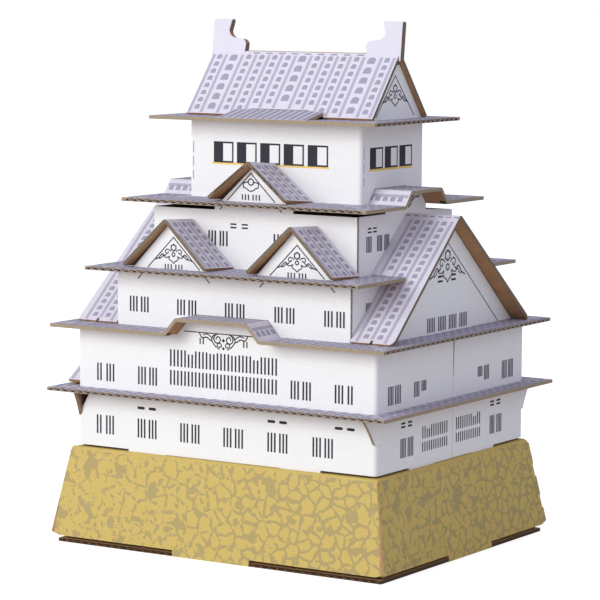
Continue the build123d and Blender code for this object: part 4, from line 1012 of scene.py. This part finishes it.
# The small gables' tiles, from the front edge back
SMALL_EDGES = np.array([1.2, 6.2, 11.5, 16.8])
for node in ("front_left_gable_roof", "front_right_gable_roof", "front_middle_gable_roof"):
    strip_ink, mark_ink = inks(node, RIGHT_SLOPE, STRIPS, MARKS)
    tile_columns(strip_ink, mark_ink, strip_ink.sheet.low[0] + SMALL_EDGES, top=0.8)
    strip_ink, mark_ink = inks(node, LEFT_SLOPE, STRIPS, MARKS)
    tile_columns(strip_ink, mark_ink, strip_ink.sheet.high[0] - SMALL_EDGES[::-1], top=0.8)
for way in (FRONT_SLOPE, BACK_SLOPE):
    strip_ink, mark_ink = inks("left_small_gable_roof", way, STRIPS, MARKS)
    edges = np.arange(strip_ink.sheet.low[0] + 1.4, strip_ink.sheet.high[0], 5.2)
    tile_columns(strip_ink, mark_ink, edges, top=0.8)

# Raised middles of the second and fourth roofs: a column of tiles along each slope, and
# columns from the wall to the eave on top
for node, slopes, ends, edges, wall in (
    ("second_roof", (RIGHT_SLOPE, LEFT_SLOPE), (FRONT, BACK), (-12.9, -7.7, -2.6, 2.6, 7.7, 12.9), 45.0),
    ("fourth_roof", (FRONT_SLOPE, BACK_SLOPE), (RIGHT, LEFT), (-7.8, -2.6, 2.6, 7.8), 35.0),
):
    for way in slopes:
        strip_ink, mark_ink = inks(node, way, STRIPS, MARKS)
        (left, foot), (right, ridge) = strip_ink.sheet.low, strip_ink.sheet.high
        strip_ink.stamp(boxes(left + 0.4, right - 0.4, ridge - 2.3, ridge - 1.1))
        mark_ink.stamp(arches(np.arange(left + 2.1, right - 1.4, 2.9), foot + 2.5, 1.9, 2.2))
    for _, along in ends:
        tile_columns(*plate_inks(node, along, corners(node)[1][2]), edges, stop=-wall)

# Front flap of the fifth roof
flap_ink, = inks("fifth_roof", FLAP_SLOPE, PLATE_TILES, depth=FLAP_DEPTH)
for middle in np.arange(-16.5, 17, 2.75):
    low, high = reach(flap_ink.sheet, middle, 0.6)
    if high > low:
        flap_ink.stamp(boxes(middle - 0.5, middle + 0.5, low + 0.5, high - 0.5))

# Level plates: the walls that end their tiles in front, at the back and at the sides, and half
# of the width that a raised middle or the flap takes from the tiles of a side
STANDING = {
    "first_roof": ("lower_front_wall", "lower_back_wall", "lower_front_wall"),
    "second_roof": ("third_front_wall", "third_back_wall", "third_right_wall"),
    "third_roof": ("fourth_front_wall", "fourth_back_wall", "fourth_right_wall"),
    "fourth_roof": ("fifth_wall", "fifth_wall", "fifth_wall"),
}
GAPS = {
    ("second_roof", FRONT): 19.5, ("second_roof", BACK): 19.5, ("fifth_roof", FRONT): 18.3,
    ("fourth_roof", RIGHT): 14.5, ("fourth_roof", LEFT): 14.5,
}
for node in PLATES:
    low, high = corners(node)
    if node in STANDING:
        front, back, side = (round(face(wall, *way).depth, 3)
                             for wall, way in zip(STANDING[node], (FRONT, BACK, RIGHT)))
    else:
        roof_low, roof_high = corners("top_roof")
        front, back, side = -roof_low[1], roof_high[1], roof_high[0] - FINIAL_PAST
    for way, span, depth, wall in ((FRONT, high[0], high[1], front), (RIGHT, high[1], high[0], side),
                                   (BACK, high[0], high[1], back), (LEFT, high[1], high[0], side)):
        strip_ink, mark_ink = plate_inks(node, way[1], low[2] + BOARD)
        plate_tiles(strip_ink, mark_ink, span, depth, wall, GAPS.get((node, way)))

for name in FILMS:
    ink_piece(name)

bpy.context.scene.view_settings.view_transform = "Standard"
